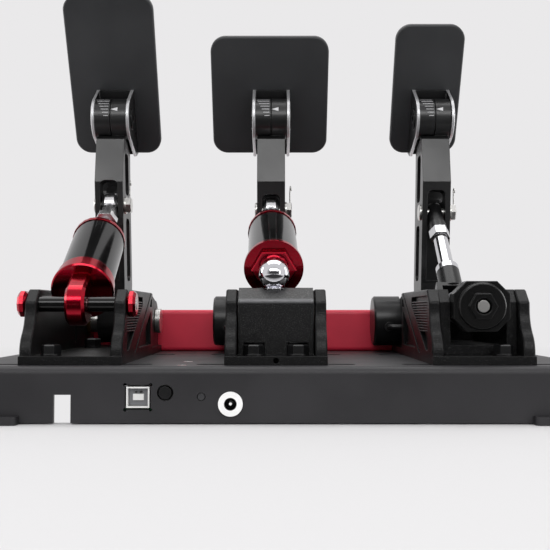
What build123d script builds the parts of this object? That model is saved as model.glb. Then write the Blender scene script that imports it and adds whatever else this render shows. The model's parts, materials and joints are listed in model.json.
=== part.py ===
# Sim racing pedal set: bent base tray, three pedestal brackets and three pedals with their dampers.
# X runs across the set, +Y points to the driver, +Z is up. The origin is the centre of the rig slots
# on the underside of the foot plates. All sizes are in millimetres.
import os
from math import cos, pi, radians, sin, sqrt

from build123d import *

os.makedirs("parts", exist_ok=True)

# Fits that many pieces share
running_clearance = 0.05    # radial, shafts in their bushes
seat_clearance = 0.15       # between pieces that are only clamped or slid together
soft_clearance = 0.3        # between moving pieces that must not touch
link_clearance = 0.6        # radial, rod eye and strut eye on their pins
overrun = 5                 # how far a cutting tool passes its faces

# Base tray, bent from one sheet
base_width = 350
base_depth = 240
base_height = 30
sheet = 3
bend_radius = 4
floor_gap = 0.6
lip_width = 26
lip_end_gap = 12
rear = -base_depth / 2

# Foot plates
foot_thickness = 4.4
foot_inner_x = 133.5
foot_side_reach = 20
foot_end_reach = 6
foot_corner = 2.5
rig_spacing_x = 370
rig_spacing_y = 180
rig_slot_length = 12
rig_slot_width = 6.6
foot_screw_x = 161
foot_screw_pitch = 85
foot_screw_radius = 2.5
foot_screw_head_radius = 5
foot_screw_head_depth = 2.5
foot_screw_length = 8

# Cut-outs in the rear flange
notch_x = -111.1
notch_width = 9
notch_height = 15.3
usb_x = -71.7
usb_z = 14
usb_width = 12
usb_height = 10.9
usb_depth = 16
usb_wall = 0.8
usb_tongue_width = 5.6
usb_tongue_height = 3.2
usb_tongue_recess = 2
usb_window_width = 13.4
usb_window_height = 12.9
usb_corner_relief = 0.9
button_x = -57.5
button_z = 16.4
button_hole_radius = 3.9
button_radius = 3.3
button_flange_radius = 4.8
button_flange_thickness = 1.2
button_proud = 0.8
button_stem_length = 2.5
button_travel = 1.2
light_x = -38.8
light_z = 14.3
light_hole_radius = 2
light_radius = 1.8
jack_x = -23.6
jack_z = 10.6
jack_ring_radius = 6.4
jack_ring_thickness = 1.4
jack_thread_radius = 5.2
jack_bore_radius = 3
jack_bore_depth = 9
jack_pin_radius = 0.8
jack_length = 13
jack_nut_radius = 6
jack_nut_thickness = 2

# Controller board, hung below the tray
board_thickness = 1.6
board_left_x = -95
board_right_x = -36
board_front_in = 52
board_back_in = 4
standoff_x = (-90, -50)
standoff_in = (12, 46)
standoff_radius = 2.5
standoff_foot_radius = 2.7
standoff_bore = 1.25
switch_width = 7
switch_depth = 6
chip_width = 14
chip_depth = 10
chip_height = 2

# Cross beam behind the brackets
beam_in = 184
beam_depth = 16
beam_height = 29.7
beam_length = 350
beam_edge_radius = 3
beam_screw_pitch = 110
beam_screw_radius = 2.5
beam_screw_head_radius = 4.5
beam_screw_head_height = 2.8
beam_screw_grip = 12

# Pedestal brackets, one for each pedal
pedals = {"throttle": -109.6, "brake": 0, "clutch": 111}
bracket_width = 55
bracket_wall = 6.3
bracket_plate = 4.7
bracket_back_in = 10
bracket_toe_in = 12
bracket_toe_z = 42
bracket_waist_z = 52.5
bracket_face_in = 22
bracket_shoulder_z = 63.7
bracket_crest_in = 30
bracket_top_z = 70.8
pivot_in = 165
pivot_z = 52
toe_radius = 14
waist_radius = 18
shoulder_radius = 2
ear_edge = 0.7
hub_radius = 14
hub_slope_in = 140
hub_tangent = 60
field_depth = 2.5
field_in = 130
fin_pocket_depth = 2.4
fin_pocket_in = (28, 86)
fin_pocket_top_z = 67.2
fin_pocket_side_z = 62
fin_pocket_low_in = 34
fin_pocket_low_z = 37
groove_depth_side = 1.6
groove_top_in = 126
groove_low_in = 59
groove_run = 4.5
panel_in = (73, 122)
panel_z = (37, 58.5)
panel_depth = 2.4
panel_slot_width = 3.5
panel_slot_z = (38.5, 56)
upper_pocket = ((118, 61.5), (127, 61.5), (127, 66.5), (123, 66.5))
plate_hole_radius = 1.5
plate_hole_depth = 8
bolt_x = 12
rear_bolt_in = 19
front_bolt_in = 130
rear_bolts = {"throttle": (-1,), "brake": (-1, 1), "clutch": (1,)}
adjust_slot_length = 86
adjust_slot_width = 8.5
bolt_radius = 3
bolt_hole_radius = 3.3
bolt_head_across = 9.5
bolt_head_height = 5
bolt_chamfer = 0.6
washer_radius = 5.6
washer_thickness = 1
nut_height = 5
bolt_end = 2

# Pivot of each pedal
shaft_radius = 5
bush_radius = 8
bush_flange_radius = 10.5
bush_flange = 1.5
spacer_radius = 8
shaft_head_radius = 8.5
shaft_head_thickness = 3.5
shaft_tail = 8
clip_radius = 7.5
clip_thickness = 1.2
housing_radius = 17.2
housing_length = 18.3
housing_wall = 2.5
housing_edge = 1.2
gland_radius = 3.2
gland_reach = 2
gland_x = 8.5
gland_z = 48

# Pedal arms
arm_offset = {"throttle": -3.7, "brake": -3.3, "clutch": -2}
arm_width = 19
arm_hub_radius = 15
arm_heel_in = (150, 180)
arm_low_z = 78
arm_low_in = (148.5, 181)
arm_bend_z = 146.5
arm_bend_in = (137.5, 170.5)
arm_shoulder_z = 176.5
arm_crest_in = 150
arm_neck_z = 181
arm_neck_in = (142.5, 167)
fork_width = 12
fork_back = 7
fork_low_z = 80
fork_rise = {"throttle": 16, "brake": 10.2, "clutch": 14.4}
fork_corner = 3.5
window_back = 11
window_width = 14.5
window_corner = 4
boss_half_height = 8
high_window_share = 0.73
clevis_in = 148
clevis_z = {"throttle": 131.5, "brake": 127.8, "clutch": 126.4}
clevis_radius = 3
clevis_head_radius = 5.5
clevis_head_height = 1.6
clevis_washer_radius = 6
clevis_washer_thickness = 1.2
clevis_nut_across = 10
clevis_nut_height = 3.4
clevis_chamfer = 0.5

# Face hinge and face plates
barrel_in = 154
barrel_z = 192.5
barrel_radius = 14
barrel_width = 21.3
barrel_split = 0.6
face_lean = 30
face_stand = 17
face_thickness = 5
face_corner = 10.5
face_drop = 31.1
face_offset = {"throttle": -0.7, "brake": -1, "clutch": -2.7}
face_width = {"throttle": 61.2, "brake": 82, "clutch": 47.5}
face_edge = 0.8
face_height = {"throttle": 112, "brake": 84, "clutch": 92}
cheek_thickness = 2
cheek_radius = 15
cheek_heel_radius = 6
cheek_edge = 0.4
web_thickness = 2.4
web_rise = 16
groove_pitch = 9
groove_width = 3
groove_depth = 1
groove_margin = 8
hinge_bolt_radius = 4
hinge_cap_radius = 7.5
hinge_cap_height = 0.8
hinge_socket_across = 5
hinge_socket_depth = 2.5

# Throttle damper, from the cross pin up to the clevis bolt
cross_pin_in = 30
cross_pin_z = 62.7
cross_pin_radius = 3
sleeve_radius = 4.4
end_nut_radius = 7.5
end_nut_facets = 10
end_nut_thickness = 5
end_nut_chamfer = 1.4
lug_width = 11
lug_radius = 12
lug_shank = 14
lug_edge = 1.6
end_cap_radius = 17.8
end_cap_rim = 3.4
end_cap_edge = 0.8
end_cap_neck_radius = 16.9
end_cap_length = 11
throttle_tube_radius = 15.8
throttle_tube_wall = 2.5
throttle_tube_length = 53
ring_thickness = 4
ring_overhang = 0.6
ring_facets = 24
ring_chamfer = 1.2
rod_radius = 4
rod_end_width = 10.6
rod_end_radius = 8.6
rod_end_chamfer = 2.2
rod_end_shank = 14
rod_end_shank_radius = 5
rod_nut_across = 13
rod_nut_height = 6
piston_length = 8
piston_rest_gap = 2
spring_wall = 3

# Brake damper, from the ball stud up to the clevis bolt
ball_in = 35
ball_z = 79.5
ball_offset = -1.1
ball_radius = 8.9
ball_sink = 0.9
ball_nut_across = 13
ball_nut_height = 3.5
stud_radius = 4
stud_shoulder_radius = 5.5
socket_collar_across = 22.5
socket_start = 4.5
socket_length = 4
socket_edge = 0.8
socket_flange_radius = 17
socket_flange_thickness = 3
brake_tube_radius = 14.8
brake_tube_wall = 2.5
brake_tube_length = 61
elastomer_count = 3
cover_half_width = 20.5
cover_wall = 2
cover_back_in = 21.5
cover_rise = 0.9
cover_edge = 1.5
cover_front_in = 44
cover_brow_in = 36
cover_brow_z = 62
cover_notch_radius = 6.3
cover_notch_height = 6.9
cover_nut_recess = 7.9
cell_width = 24
cell_back_in = 26
cell_front_in = 41
cell_height = 25
cell_hole_radius = 4

# Clutch linkage: a strut pushes a slider along a guide rod against a spring
frame_wall = 5.7
frame_bar = 5.3
frame_back_in = 25.2
frame_crest_in = 32
frame_front_in = 116
frame_low_z = 64
frame_step_in = 44
frame_step_run = 6
guide_z = 61.3
guide_radius = 3.2
guide_tail_in = 12
guide_front_in = 112
block_width = 30.5
block_height = 27.3
block_cut = 7
block_back_in = 16
block_thickness = 12
disc_radius = 12.8
disc_thickness = 2.5
disc_edge = 0.7
preload_nut_across = 13.5
preload_bore_radius = 4.4
preload_bore_depth = 4.5
preload_nut_height = 2.2
slider_in = 88
slider_width = 14
slider_length = 15
slider_height = 13
slider_pin_radius = 3
strut_cheek = 3.5
strut_fork_radius = 6.3
strut_crotch = 12.5
strut_bridge = 3
strut_body_radius = 7.3
strut_body_length = 18.5
strut_tube_radius = 4.8
strut_nut_across = 11.6
strut_nut_height = 7
strut_cap_radius = 5.8
strut_cap_length = 19
strut_cap_reach = 6.5
strut_neck_radius = 5.3
strut_tip = 6
strut_tip_round = 2.5
clutch_spring_radius = 9
clutch_wire_radius = 1.3
clutch_spring_turns = 7


def place(inset):
    """Y of a point that lies inset from the rear face of the tray."""
    return rear + inset


def keep(piece, node):
    """Name a finished piece and write it."""
    piece.label = node
    export_step(piece, f"parts/{node}.step")
    print(node, len(piece.solids()), round(piece.volume))


def along(x, radius_inset, z):
    """Plane whose normal runs along X, centred on an axis at the given place."""
    return Plane((x, place(radius_inset), z), x_dir=(0, 1, 0), z_dir=(1, 0, 0))


tray_inside = base_height - sheet

with BuildPart() as base_tray:
    with BuildSketch(Plane.XY.offset(floor_gap)):
        Rectangle(base_width, base_depth)
    extrude(amount=base_height - floor_gap)
    fillet(base_tray.edges().filter_by(Axis.Z), bend_radius)
    fillet(base_tray.faces().sort_by(Axis.Z)[-1].edges(), bend_radius)
    offset(amount=-sheet, openings=base_tray.faces().sort_by(Axis.Z)[0])
    # Lips that the side flanges turn inwards over the foot plates
    with BuildSketch(Plane.XY.offset(foot_thickness)):
        for side in (-1, 1):
            with Locations((side * (base_width / 2 - sheet - lip_width / 2 + seat_clearance), 0)):
                Rectangle(lip_width, base_depth - 2 * lip_end_gap)
    extrude(amount=sheet)
    # Room for the foot plates
    with BuildSketch(Plane.XY):
        for side in (-1, 1):
            with Locations((side * (foot_inner_x + base_width / 2), 0)):
                Rectangle(base_width, base_depth + 2 * overrun)
    extrude(amount=foot_thickness, mode=Mode.SUBTRACT)
    # Cable notch, socket window and round holes in the rear flange
    rear_face = Plane.XZ.offset(base_depth / 2 + overrun)
    with BuildSketch(rear_face):
        with Locations((notch_x, 0)):
            Rectangle(notch_width, 2 * notch_height)
        with Locations((usb_x, usb_z)):
            Rectangle(usb_window_width, usb_window_height)
            with GridLocations(usb_window_width, usb_window_height, 2, 2):
                Circle(usb_corner_relief)
        with Locations((button_x, button_z)):
            Circle(button_hole_radius)
        with Locations((light_x, light_z)):
            Circle(light_hole_radius)
        with Locations((jack_x, jack_z)):
            Circle(jack_thread_radius + seat_clearance)
    extrude(amount=-(sheet + 2 * overrun), mode=Mode.SUBTRACT)
    # Slots that let each bracket slide sideways, and holes for standoffs and screws
    with BuildSketch(Plane.XY.offset(base_height)):
        for x in pedals.values():
            for inset in (rear_bolt_in, front_bolt_in):
                with Locations((x, place(inset))):
                    SlotOverall(adjust_slot_length, adjust_slot_width)
        for x in standoff_x:
            for inset in standoff_in:
                with Locations((x, place(inset))):
                    Circle(standoff_foot_radius)
        with Locations((0, place(beam_in + beam_depth / 2))):
            with GridLocations(beam_screw_pitch, 0, 4, 1):
                Circle(beam_screw_radius + seat_clearance)
    extrude(amount=-(sheet + seat_clearance), mode=Mode.SUBTRACT)
    with BuildSketch(Plane.XY.offset(foot_thickness)):
        with GridLocations(2 * foot_screw_x, foot_screw_pitch, 2, 3):
            Circle(foot_screw_radius + seat_clearance)
    extrude(amount=sheet + seat_clearance, mode=Mode.SUBTRACT)
keep(base_tray.part, "base_tray")

with BuildPart() as foot_plates:
    foot_outer_x = base_width / 2 + foot_side_reach
    with BuildSketch(Plane.XY):
        for side in (-1, 1):
            with Locations((side * (foot_inner_x + foot_outer_x) / 2, 0)):
                RectangleRounded(foot_outer_x - foot_inner_x, base_depth + 2 * foot_end_reach, foot_corner)
        with GridLocations(rig_spacing_x, rig_spacing_y, 2, 2):
            SlotOverall(rig_slot_length, rig_slot_width, mode=Mode.SUBTRACT)
    extrude(amount=foot_thickness)
    with Locations(Plane.XY.rotated((180, 0, 0))):
        with GridLocations(2 * foot_screw_x, foot_screw_pitch, 2, 3):
            CounterSinkHole(foot_screw_radius + seat_clearance, foot_screw_head_radius + seat_clearance,
                            foot_thickness)
keep(foot_plates.part, "foot_plates")

with BuildPart() as cross_beam:
    with BuildSketch(Plane.XY.offset(base_height)):
        with Locations((0, place(beam_in + beam_depth / 2))):
            Rectangle(beam_length, beam_depth)
    extrude(amount=beam_height)
    fillet(cross_beam.edges().filter_by(Axis.X), beam_edge_radius)
    # Blind holes for the screws that come up through the tray
    with BuildSketch(Plane.XY.offset(base_height)):
        with Locations((0, place(beam_in + beam_depth / 2))):
            with GridLocations(beam_screw_pitch, 0, 4, 1):
                Circle(beam_screw_radius)
    extrude(amount=beam_screw_grip, mode=Mode.SUBTRACT)
keep(cross_beam.part, "cross_beam")

with BuildPart() as base_screws:
    # Countersunk screws through the foot plates into the lips
    foot_screw_spots = GridLocations(2 * foot_screw_x, foot_screw_pitch, 2, 3)
    with BuildSketch(Plane.XY):
        with foot_screw_spots:
            Circle(foot_screw_radius)
    extrude(amount=foot_screw_length)
    with BuildSketch(Plane.XY):
        with foot_screw_spots:
            Circle(foot_screw_head_radius)
    extrude(amount=foot_screw_head_depth, taper=45)
    # Pan-head screws from below the tray into the beam
    with BuildSketch(Plane.XY.offset(tray_inside - beam_screw_head_height)):
        with Locations((0, place(beam_in + beam_depth / 2))):
            with GridLocations(beam_screw_pitch, 0, 4, 1):
                Circle(beam_screw_head_radius)
    extrude(amount=beam_screw_head_height)
    with BuildSketch(Plane.XY.offset(tray_inside)):
        with Locations((0, place(beam_in + beam_depth / 2))):
            with GridLocations(beam_screw_pitch, 0, 4, 1):
                Circle(beam_screw_radius)
    extrude(amount=sheet + beam_screw_grip)
keep(base_screws.part, "base_screws")

# The board's top face carries the bottom of the USB socket
board_top = usb_z - usb_height / 2
board_width = board_right_x - board_left_x
board_centre_x = (board_left_x + board_right_x) / 2
board_depth = board_front_in - board_back_in
switch_in = sheet + button_flange_thickness + button_stem_length + button_travel + 2 * soft_clearance

with BuildPart() as controller_board:
    with BuildSketch(Plane.XY.offset(board_top - board_thickness)):
        with Locations((board_centre_x, place((board_front_in + board_back_in) / 2))):
            Rectangle(board_width, board_depth)
        for x in standoff_x:
            for inset in standoff_in:
                with Locations((x, place(inset))):
                    Circle(standoff_bore, mode=Mode.SUBTRACT)
    extrude(amount=board_thickness)
    # Reset switch behind the button
    with BuildSketch(Plane.XY.offset(board_top)):
        with Locations((button_x, place(switch_in + switch_depth / 2))):
            Rectangle(switch_width, switch_depth)
    extrude(amount=button_z + button_radius - board_top)
    # Lamp post behind the pinhole
    with BuildSketch(Plane.XY.offset(board_top)):
        with Locations((light_x, place(switch_in + switch_depth / 2))):
            Rectangle(2 * light_radius, switch_depth)
    extrude(amount=light_z + light_radius - board_top)
    # Processor
    with BuildSketch(Plane.XY.offset(board_top)):
        with Locations((board_centre_x, place((standoff_in[0] + standoff_in[1]) / 2 + chip_depth / 2))):
            Rectangle(chip_width, chip_depth)
    extrude(amount=chip_height)
keep(controller_board.part, "controller_board")

with BuildPart() as board_standoffs:
    for x in standoff_x:
        for inset in standoff_in:
            with BuildSketch(Plane.XY.offset(board_top)):
                with Locations((x, place(inset))):
                    Circle(standoff_radius)
            extrude(amount=tray_inside - board_top)
            with BuildSketch(Plane.XY.offset(tray_inside)):
                with Locations((x, place(inset))):
                    Circle(standoff_foot_radius - running_clearance)
            extrude(amount=sheet)
            with BuildSketch(Plane.XY.offset(board_top)):
                with Locations((x, place(inset))):
                    Circle(standoff_bore)
            extrude(amount=base_height - board_top, mode=Mode.SUBTRACT)
keep(board_standoffs.part, "board_standoffs")

with BuildPart() as usb_socket:
    with BuildSketch(Plane.XZ.offset(base_depth / 2)):
        with Locations((usb_x, usb_z)):
            Rectangle(usb_width, usb_height)
            Rectangle(usb_width - 2 * usb_wall, usb_height - 2 * usb_wall, mode=Mode.SUBTRACT)
    extrude(amount=-usb_depth)
    with BuildSketch(Plane.XZ.offset(base_depth / 2 - usb_depth + usb_wall)):
        with Locations((usb_x, usb_z)):
            Rectangle(usb_width - usb_wall, usb_height - usb_wall)
    extrude(amount=-usb_wall)
    with BuildSketch(Plane.XZ.offset(base_depth / 2 - usb_tongue_recess)):
        with Locations((usb_x, usb_z)):
            Rectangle(usb_tongue_width, usb_tongue_height)
    extrude(amount=usb_tongue_recess + usb_wall - usb_depth)
keep(usb_socket.part, "usb_socket")

with BuildPart() as power_jack:
    with BuildSketch(Plane.XZ.offset(base_depth / 2)):
        with Locations((jack_x, jack_z)):
            Circle(jack_ring_radius)
    extrude(amount=jack_ring_thickness)
    with BuildSketch(Plane.XZ.offset(base_depth / 2)):
        with Locations((jack_x, jack_z)):
            Circle(jack_thread_radius)
    extrude(amount=-jack_length)
    with BuildSketch(Plane.XZ.offset(base_depth / 2 - sheet)):
        with Locations((jack_x, jack_z)):
            RegularPolygon(jack_nut_radius, 6, major_radius=False)
    extrude(amount=-jack_nut_thickness)
    with BuildSketch(Plane.XZ.offset(base_depth / 2 + jack_ring_thickness)):
        with Locations((jack_x, jack_z)):
            Circle(jack_bore_radius)
    extrude(amount=-jack_bore_depth, mode=Mode.SUBTRACT)
    with BuildSketch(Plane.XZ.offset(base_depth / 2 - jack_bore_depth)):
        with Locations((jack_x, jack_z)):
            Circle(jack_pin_radius)
    extrude(amount=jack_bore_depth)
keep(power_jack.part, "power_jack")

with BuildPart() as status_light:
    with BuildSketch(Plane.XZ.offset(base_depth / 2)):
        with Locations((light_x, light_z)):
            Circle(light_radius)
    extrude(amount=-switch_in)
keep(status_light.part, "status_light")

with BuildPart() as reset_button:
    button_face = Plane.XZ.offset(base_depth / 2 + button_proud)
    with BuildSketch(button_face):
        with Locations((button_x, button_z)):
            Circle(button_radius)
    extrude(amount=-(button_proud + sheet + soft_clearance + button_flange_thickness + button_stem_length))
    with BuildSketch(Plane.XZ.offset(base_depth / 2 - sheet - soft_clearance)):
        with Locations((button_x, button_z)):
            Circle(button_flange_radius)
    extrude(amount=-button_flange_thickness)
keep(reset_button.part, "reset_button")

# The ears' front ends are round bosses about the pivot, on a field that lies lower than the outer face
bracket_end_in = pivot_in + hub_radius
hub_outer = bracket_width / 2 - field_depth
hub_wall = bracket_wall - field_depth
ear_corners = {
    (bracket_toe_in, bracket_toe_z): toe_radius,
    (bracket_face_in, bracket_waist_z): waist_radius,
    (bracket_face_in, bracket_shoulder_z): shoulder_radius,
    (bracket_crest_in, bracket_top_z): shoulder_radius,
}

for name, bracket_x in pedals.items():
    with BuildPart() as bracket:
        with BuildSketch(Plane.XY.offset(base_height)):
            with Locations((bracket_x, place((bracket_back_in + bracket_end_in) / 2))):
                Rectangle(bracket_width, bracket_end_in - bracket_back_in)
            for side in rear_bolts[name]:
                with Locations((bracket_x + side * bolt_x, place(rear_bolt_in))):
                    Circle(bolt_hole_radius, mode=Mode.SUBTRACT)
            with Locations((bracket_x, place(front_bolt_in))):
                with GridLocations(2 * bolt_x, 0, 2, 1):
                    Circle(bolt_hole_radius, mode=Mode.SUBTRACT)
        extrude(amount=bracket_plate)
        for side in (-1, 1):
            middle_x = bracket_x + side * (bracket_width - bracket_wall) / 2
            outer_x = bracket_x + side * bracket_width / 2
            with BuildPart() as ear:
                with BuildSketch(Plane.YZ.offset(middle_x)) as profile:
                    Polygon(
                        (place(bracket_end_in), base_height), (place(bracket_toe_in), base_height),
                        (place(bracket_toe_in), bracket_toe_z), (place(bracket_face_in), bracket_waist_z),
                        (place(bracket_face_in), bracket_shoulder_z), (place(bracket_crest_in), bracket_top_z),
                        (place(hub_slope_in), bracket_top_z),
                        (place(pivot_in + hub_radius * cos(radians(hub_tangent))),
                         pivot_z + hub_radius * sin(radians(hub_tangent))),
                        (place(bracket_end_in), pivot_z), align=None,
                    )
                    with Locations((place(pivot_in), pivot_z)):
                        Circle(hub_radius)
                    for (inset, z), radius in ear_corners.items():
                        fillet(profile.vertices().sort_by_distance(Vector(place(inset), z))[0], radius)
                extrude(amount=bracket_wall / 2, both=True)
                rims = ear.faces().filter_by(Axis.X).edges()
                chamfer([rim for rim in rims if rim.center().Z > base_height + bracket_plate], ear_edge)
            add(ear.part)
            with BuildSketch(Plane.YZ.offset(outer_x)):
                with Locations((place(field_in + bracket_end_in), bracket_top_z)):
                    Rectangle(2 * bracket_end_in, 2 * (bracket_top_z - base_height - bracket_plate))
            extrude(amount=-side * field_depth, mode=Mode.SUBTRACT)
            # Triangular pocket behind the rear edge
            with BuildSketch(Plane.YZ.offset(outer_x)):
                Polygon(
                    (place(fin_pocket_in[0]), fin_pocket_top_z), (place(fin_pocket_in[1]), fin_pocket_top_z),
                    (place(fin_pocket_in[1]), fin_pocket_side_z), (place(fin_pocket_low_in), fin_pocket_low_z),
                    (place(fin_pocket_in[0]), fin_pocket_low_z), align=None,
                )
            extrude(amount=-side * fin_pocket_depth, mode=Mode.SUBTRACT)
            # Slanting groove across the whole face
            with BuildSketch(Plane.YZ.offset(outer_x)):
                Polygon(
                    (place(groove_top_in), bracket_top_z), (place(groove_top_in - groove_run), bracket_top_z),
                    (place(groove_low_in - groove_run), base_height + bracket_plate),
                    (place(groove_low_in), base_height + bracket_plate), align=None,
                )
            extrude(amount=-side * groove_depth_side, mode=Mode.SUBTRACT)
            # Triangular panel, its slot, and the pocket over it
            with BuildSketch(Plane.YZ.offset(outer_x)):
                Polygon(
                    (place(panel_in[0]), panel_z[0]), (place(panel_in[1]), panel_z[0]),
                    (place(panel_in[1]), panel_z[1]), align=None,
                )
                Polygon(*[(place(inset), z) for inset, z in upper_pocket], align=None)
            extrude(amount=-side * panel_depth, mode=Mode.SUBTRACT)
            with BuildSketch(Plane.YZ.offset(outer_x)):
                with Locations((place(panel_in[1] - panel_slot_width / 2), sum(panel_slot_z) / 2)):
                    Rectangle(panel_slot_width, panel_slot_z[1] - panel_slot_z[0])
            extrude(amount=-side * bracket_wall, mode=Mode.SUBTRACT)
        with BuildSketch(Plane.YZ.offset(bracket_x - bracket_width / 2 - overrun)):
            with Locations((place(pivot_in), pivot_z)):
                Circle(bush_radius + seat_clearance)
        extrude(amount=bracket_width + 2 * overrun, mode=Mode.SUBTRACT)
        if name == "throttle":
            with BuildSketch(Plane.YZ.offset(bracket_x - bracket_width / 2 - overrun)):
                with Locations((place(cross_pin_in), cross_pin_z)):
                    Circle(cross_pin_radius + running_clearance)
            extrude(amount=bracket_width + 2 * overrun, mode=Mode.SUBTRACT)
        if name == "brake":
            with BuildSketch(Plane.XZ.offset(-place(bracket_back_in))):
                with Locations((bracket_x, base_height + bracket_plate / 2)):
                    Circle(plate_hole_radius)
            extrude(amount=-plate_hole_depth, mode=Mode.SUBTRACT)
    keep(bracket.part, f"{name}_bracket")

    # The housing covers the left end of the shaft, where the magnet and its sensor sit
    with BuildPart() as sensor_housing:
        housing_x = bracket_x - hub_outer
        with BuildSketch(Plane.YZ.offset(housing_x)):
            with Locations((place(pivot_in), pivot_z)):
                Circle(housing_radius)
        extrude(amount=-housing_length)
        chamfer(sensor_housing.faces().sort_by(Axis.X)[0].edges(), housing_edge)
        # Round seat of the cable gland, on the rear
        with BuildSketch(Plane.XZ.offset(-place(pivot_in - housing_radius - gland_reach))):
            with Locations((housing_x - gland_x, gland_z)):
                Circle(gland_radius)
        extrude(amount=-(gland_reach + housing_wall))
        with BuildSketch(Plane.YZ.offset(housing_x)):
            with Locations((place(pivot_in), pivot_z)):
                Circle(housing_radius - housing_wall)
        extrude(amount=housing_wall - housing_length, mode=Mode.SUBTRACT)
    keep(sensor_housing.part, f"{name}_sensor_housing")

    with BuildPart() as pivot_shaft:
        inner_x = bracket_width / 2 - bracket_wall
        flange_x = inner_x - bush_flange
        shaft_start = bracket_x - hub_outer - shaft_tail
        shaft_end = bracket_x + hub_outer + soft_clearance
        with BuildSketch(along(shaft_start, pivot_in, pivot_z)):
            Circle(shaft_radius)
        extrude(amount=shaft_end - shaft_start)
        with BuildSketch(along(shaft_end, pivot_in, pivot_z)):
            Circle(shaft_head_radius)
        extrude(amount=shaft_head_thickness)
        # Retaining clip inside the sensor housing
        with BuildSketch(along(bracket_x - hub_outer - soft_clearance, pivot_in, pivot_z)):
            Circle(clip_radius)
        extrude(amount=-clip_thickness)
        # Spacers that hold the arm between the bushes
        left_face = bracket_x + arm_offset[name] - arm_width / 2
        right_face = bracket_x + arm_offset[name] + arm_width / 2
        with BuildSketch(along(bracket_x - flange_x + soft_clearance, pivot_in, pivot_z)):
            Circle(spacer_radius)
        extrude(amount=left_face - bracket_x + flange_x - soft_clearance)
        with BuildSketch(along(right_face, pivot_in, pivot_z)):
            Circle(spacer_radius)
        extrude(amount=bracket_x + flange_x - soft_clearance - right_face)
    keep(pivot_shaft.part, f"{name}_pivot_shaft")

with BuildPart() as pivot_bushes:
    for bracket_x in pedals.values():
        for side in (-1, 1):
            start_x = bracket_x + side * hub_outer
            with BuildSketch(along(start_x, pivot_in, pivot_z)):
                Circle(bush_radius)
                Circle(shaft_radius + running_clearance, mode=Mode.SUBTRACT)
            extrude(amount=-side * hub_wall)
            with BuildSketch(along(start_x - side * hub_wall, pivot_in, pivot_z)):
                Circle(bush_flange_radius)
                Circle(shaft_radius + running_clearance, mode=Mode.SUBTRACT)
            extrude(amount=-side * bush_flange)
keep(pivot_bushes.part, "pivot_bushes")

# One bolt with its washers and nut, from the bottom up, and its places
bolt_low = tray_inside - washer_thickness - nut_height
plate_top = base_height + bracket_plate
with BuildPart() as bolt:
    with BuildSketch(Plane.XY.offset(bolt_low)):
        RegularPolygon(bolt_head_across / 2, 6, major_radius=False)
    extrude(amount=nut_height)
    with BuildSketch(Plane.XY.offset(plate_top + washer_thickness)):
        RegularPolygon(bolt_head_across / 2, 6, major_radius=False)
    extrude(amount=bolt_head_height)
    chamfer(bolt.faces().sort_by(Axis.Z)[-1].edges() + bolt.faces().sort_by(Axis.Z)[0].edges(), bolt_chamfer)
    with BuildSketch(Plane.XY.offset(tray_inside - washer_thickness), Plane.XY.offset(plate_top)):
        Circle(washer_radius)
    extrude(amount=washer_thickness)
    with BuildSketch(Plane.XY.offset(bolt_low - bolt_end)):
        Circle(bolt_radius)
    extrude(amount=plate_top - bolt_low + bolt_end)

with BuildPart() as bracket_bolts:
    for name, bracket_x in pedals.items():
        rear_spots = [(bracket_x + side * bolt_x, place(rear_bolt_in)) for side in rear_bolts[name]]
        front_spots = [(bracket_x + side * bolt_x, place(front_bolt_in)) for side in (-1, 1)]
        with Locations(*rear_spots, *front_spots):
            add(bolt.part)
keep(bracket_bolts.part, "bracket_bolts")


def spread(name, start_x, start_in, start_z):
    """Plane at a damper's rear joint whose normal runs up the damper to its clevis bolt, and the run."""
    start = Vector(start_x, place(start_in), start_z)
    finish = Vector(pedals[name] + arm_offset[name], place(clevis_in), clevis_z[name])
    run = finish - start
    across = Vector(1, 0, 0) - run * (run.X / run.length**2)
    return Plane(start, x_dir=across, z_dir=run), run.length


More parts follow.
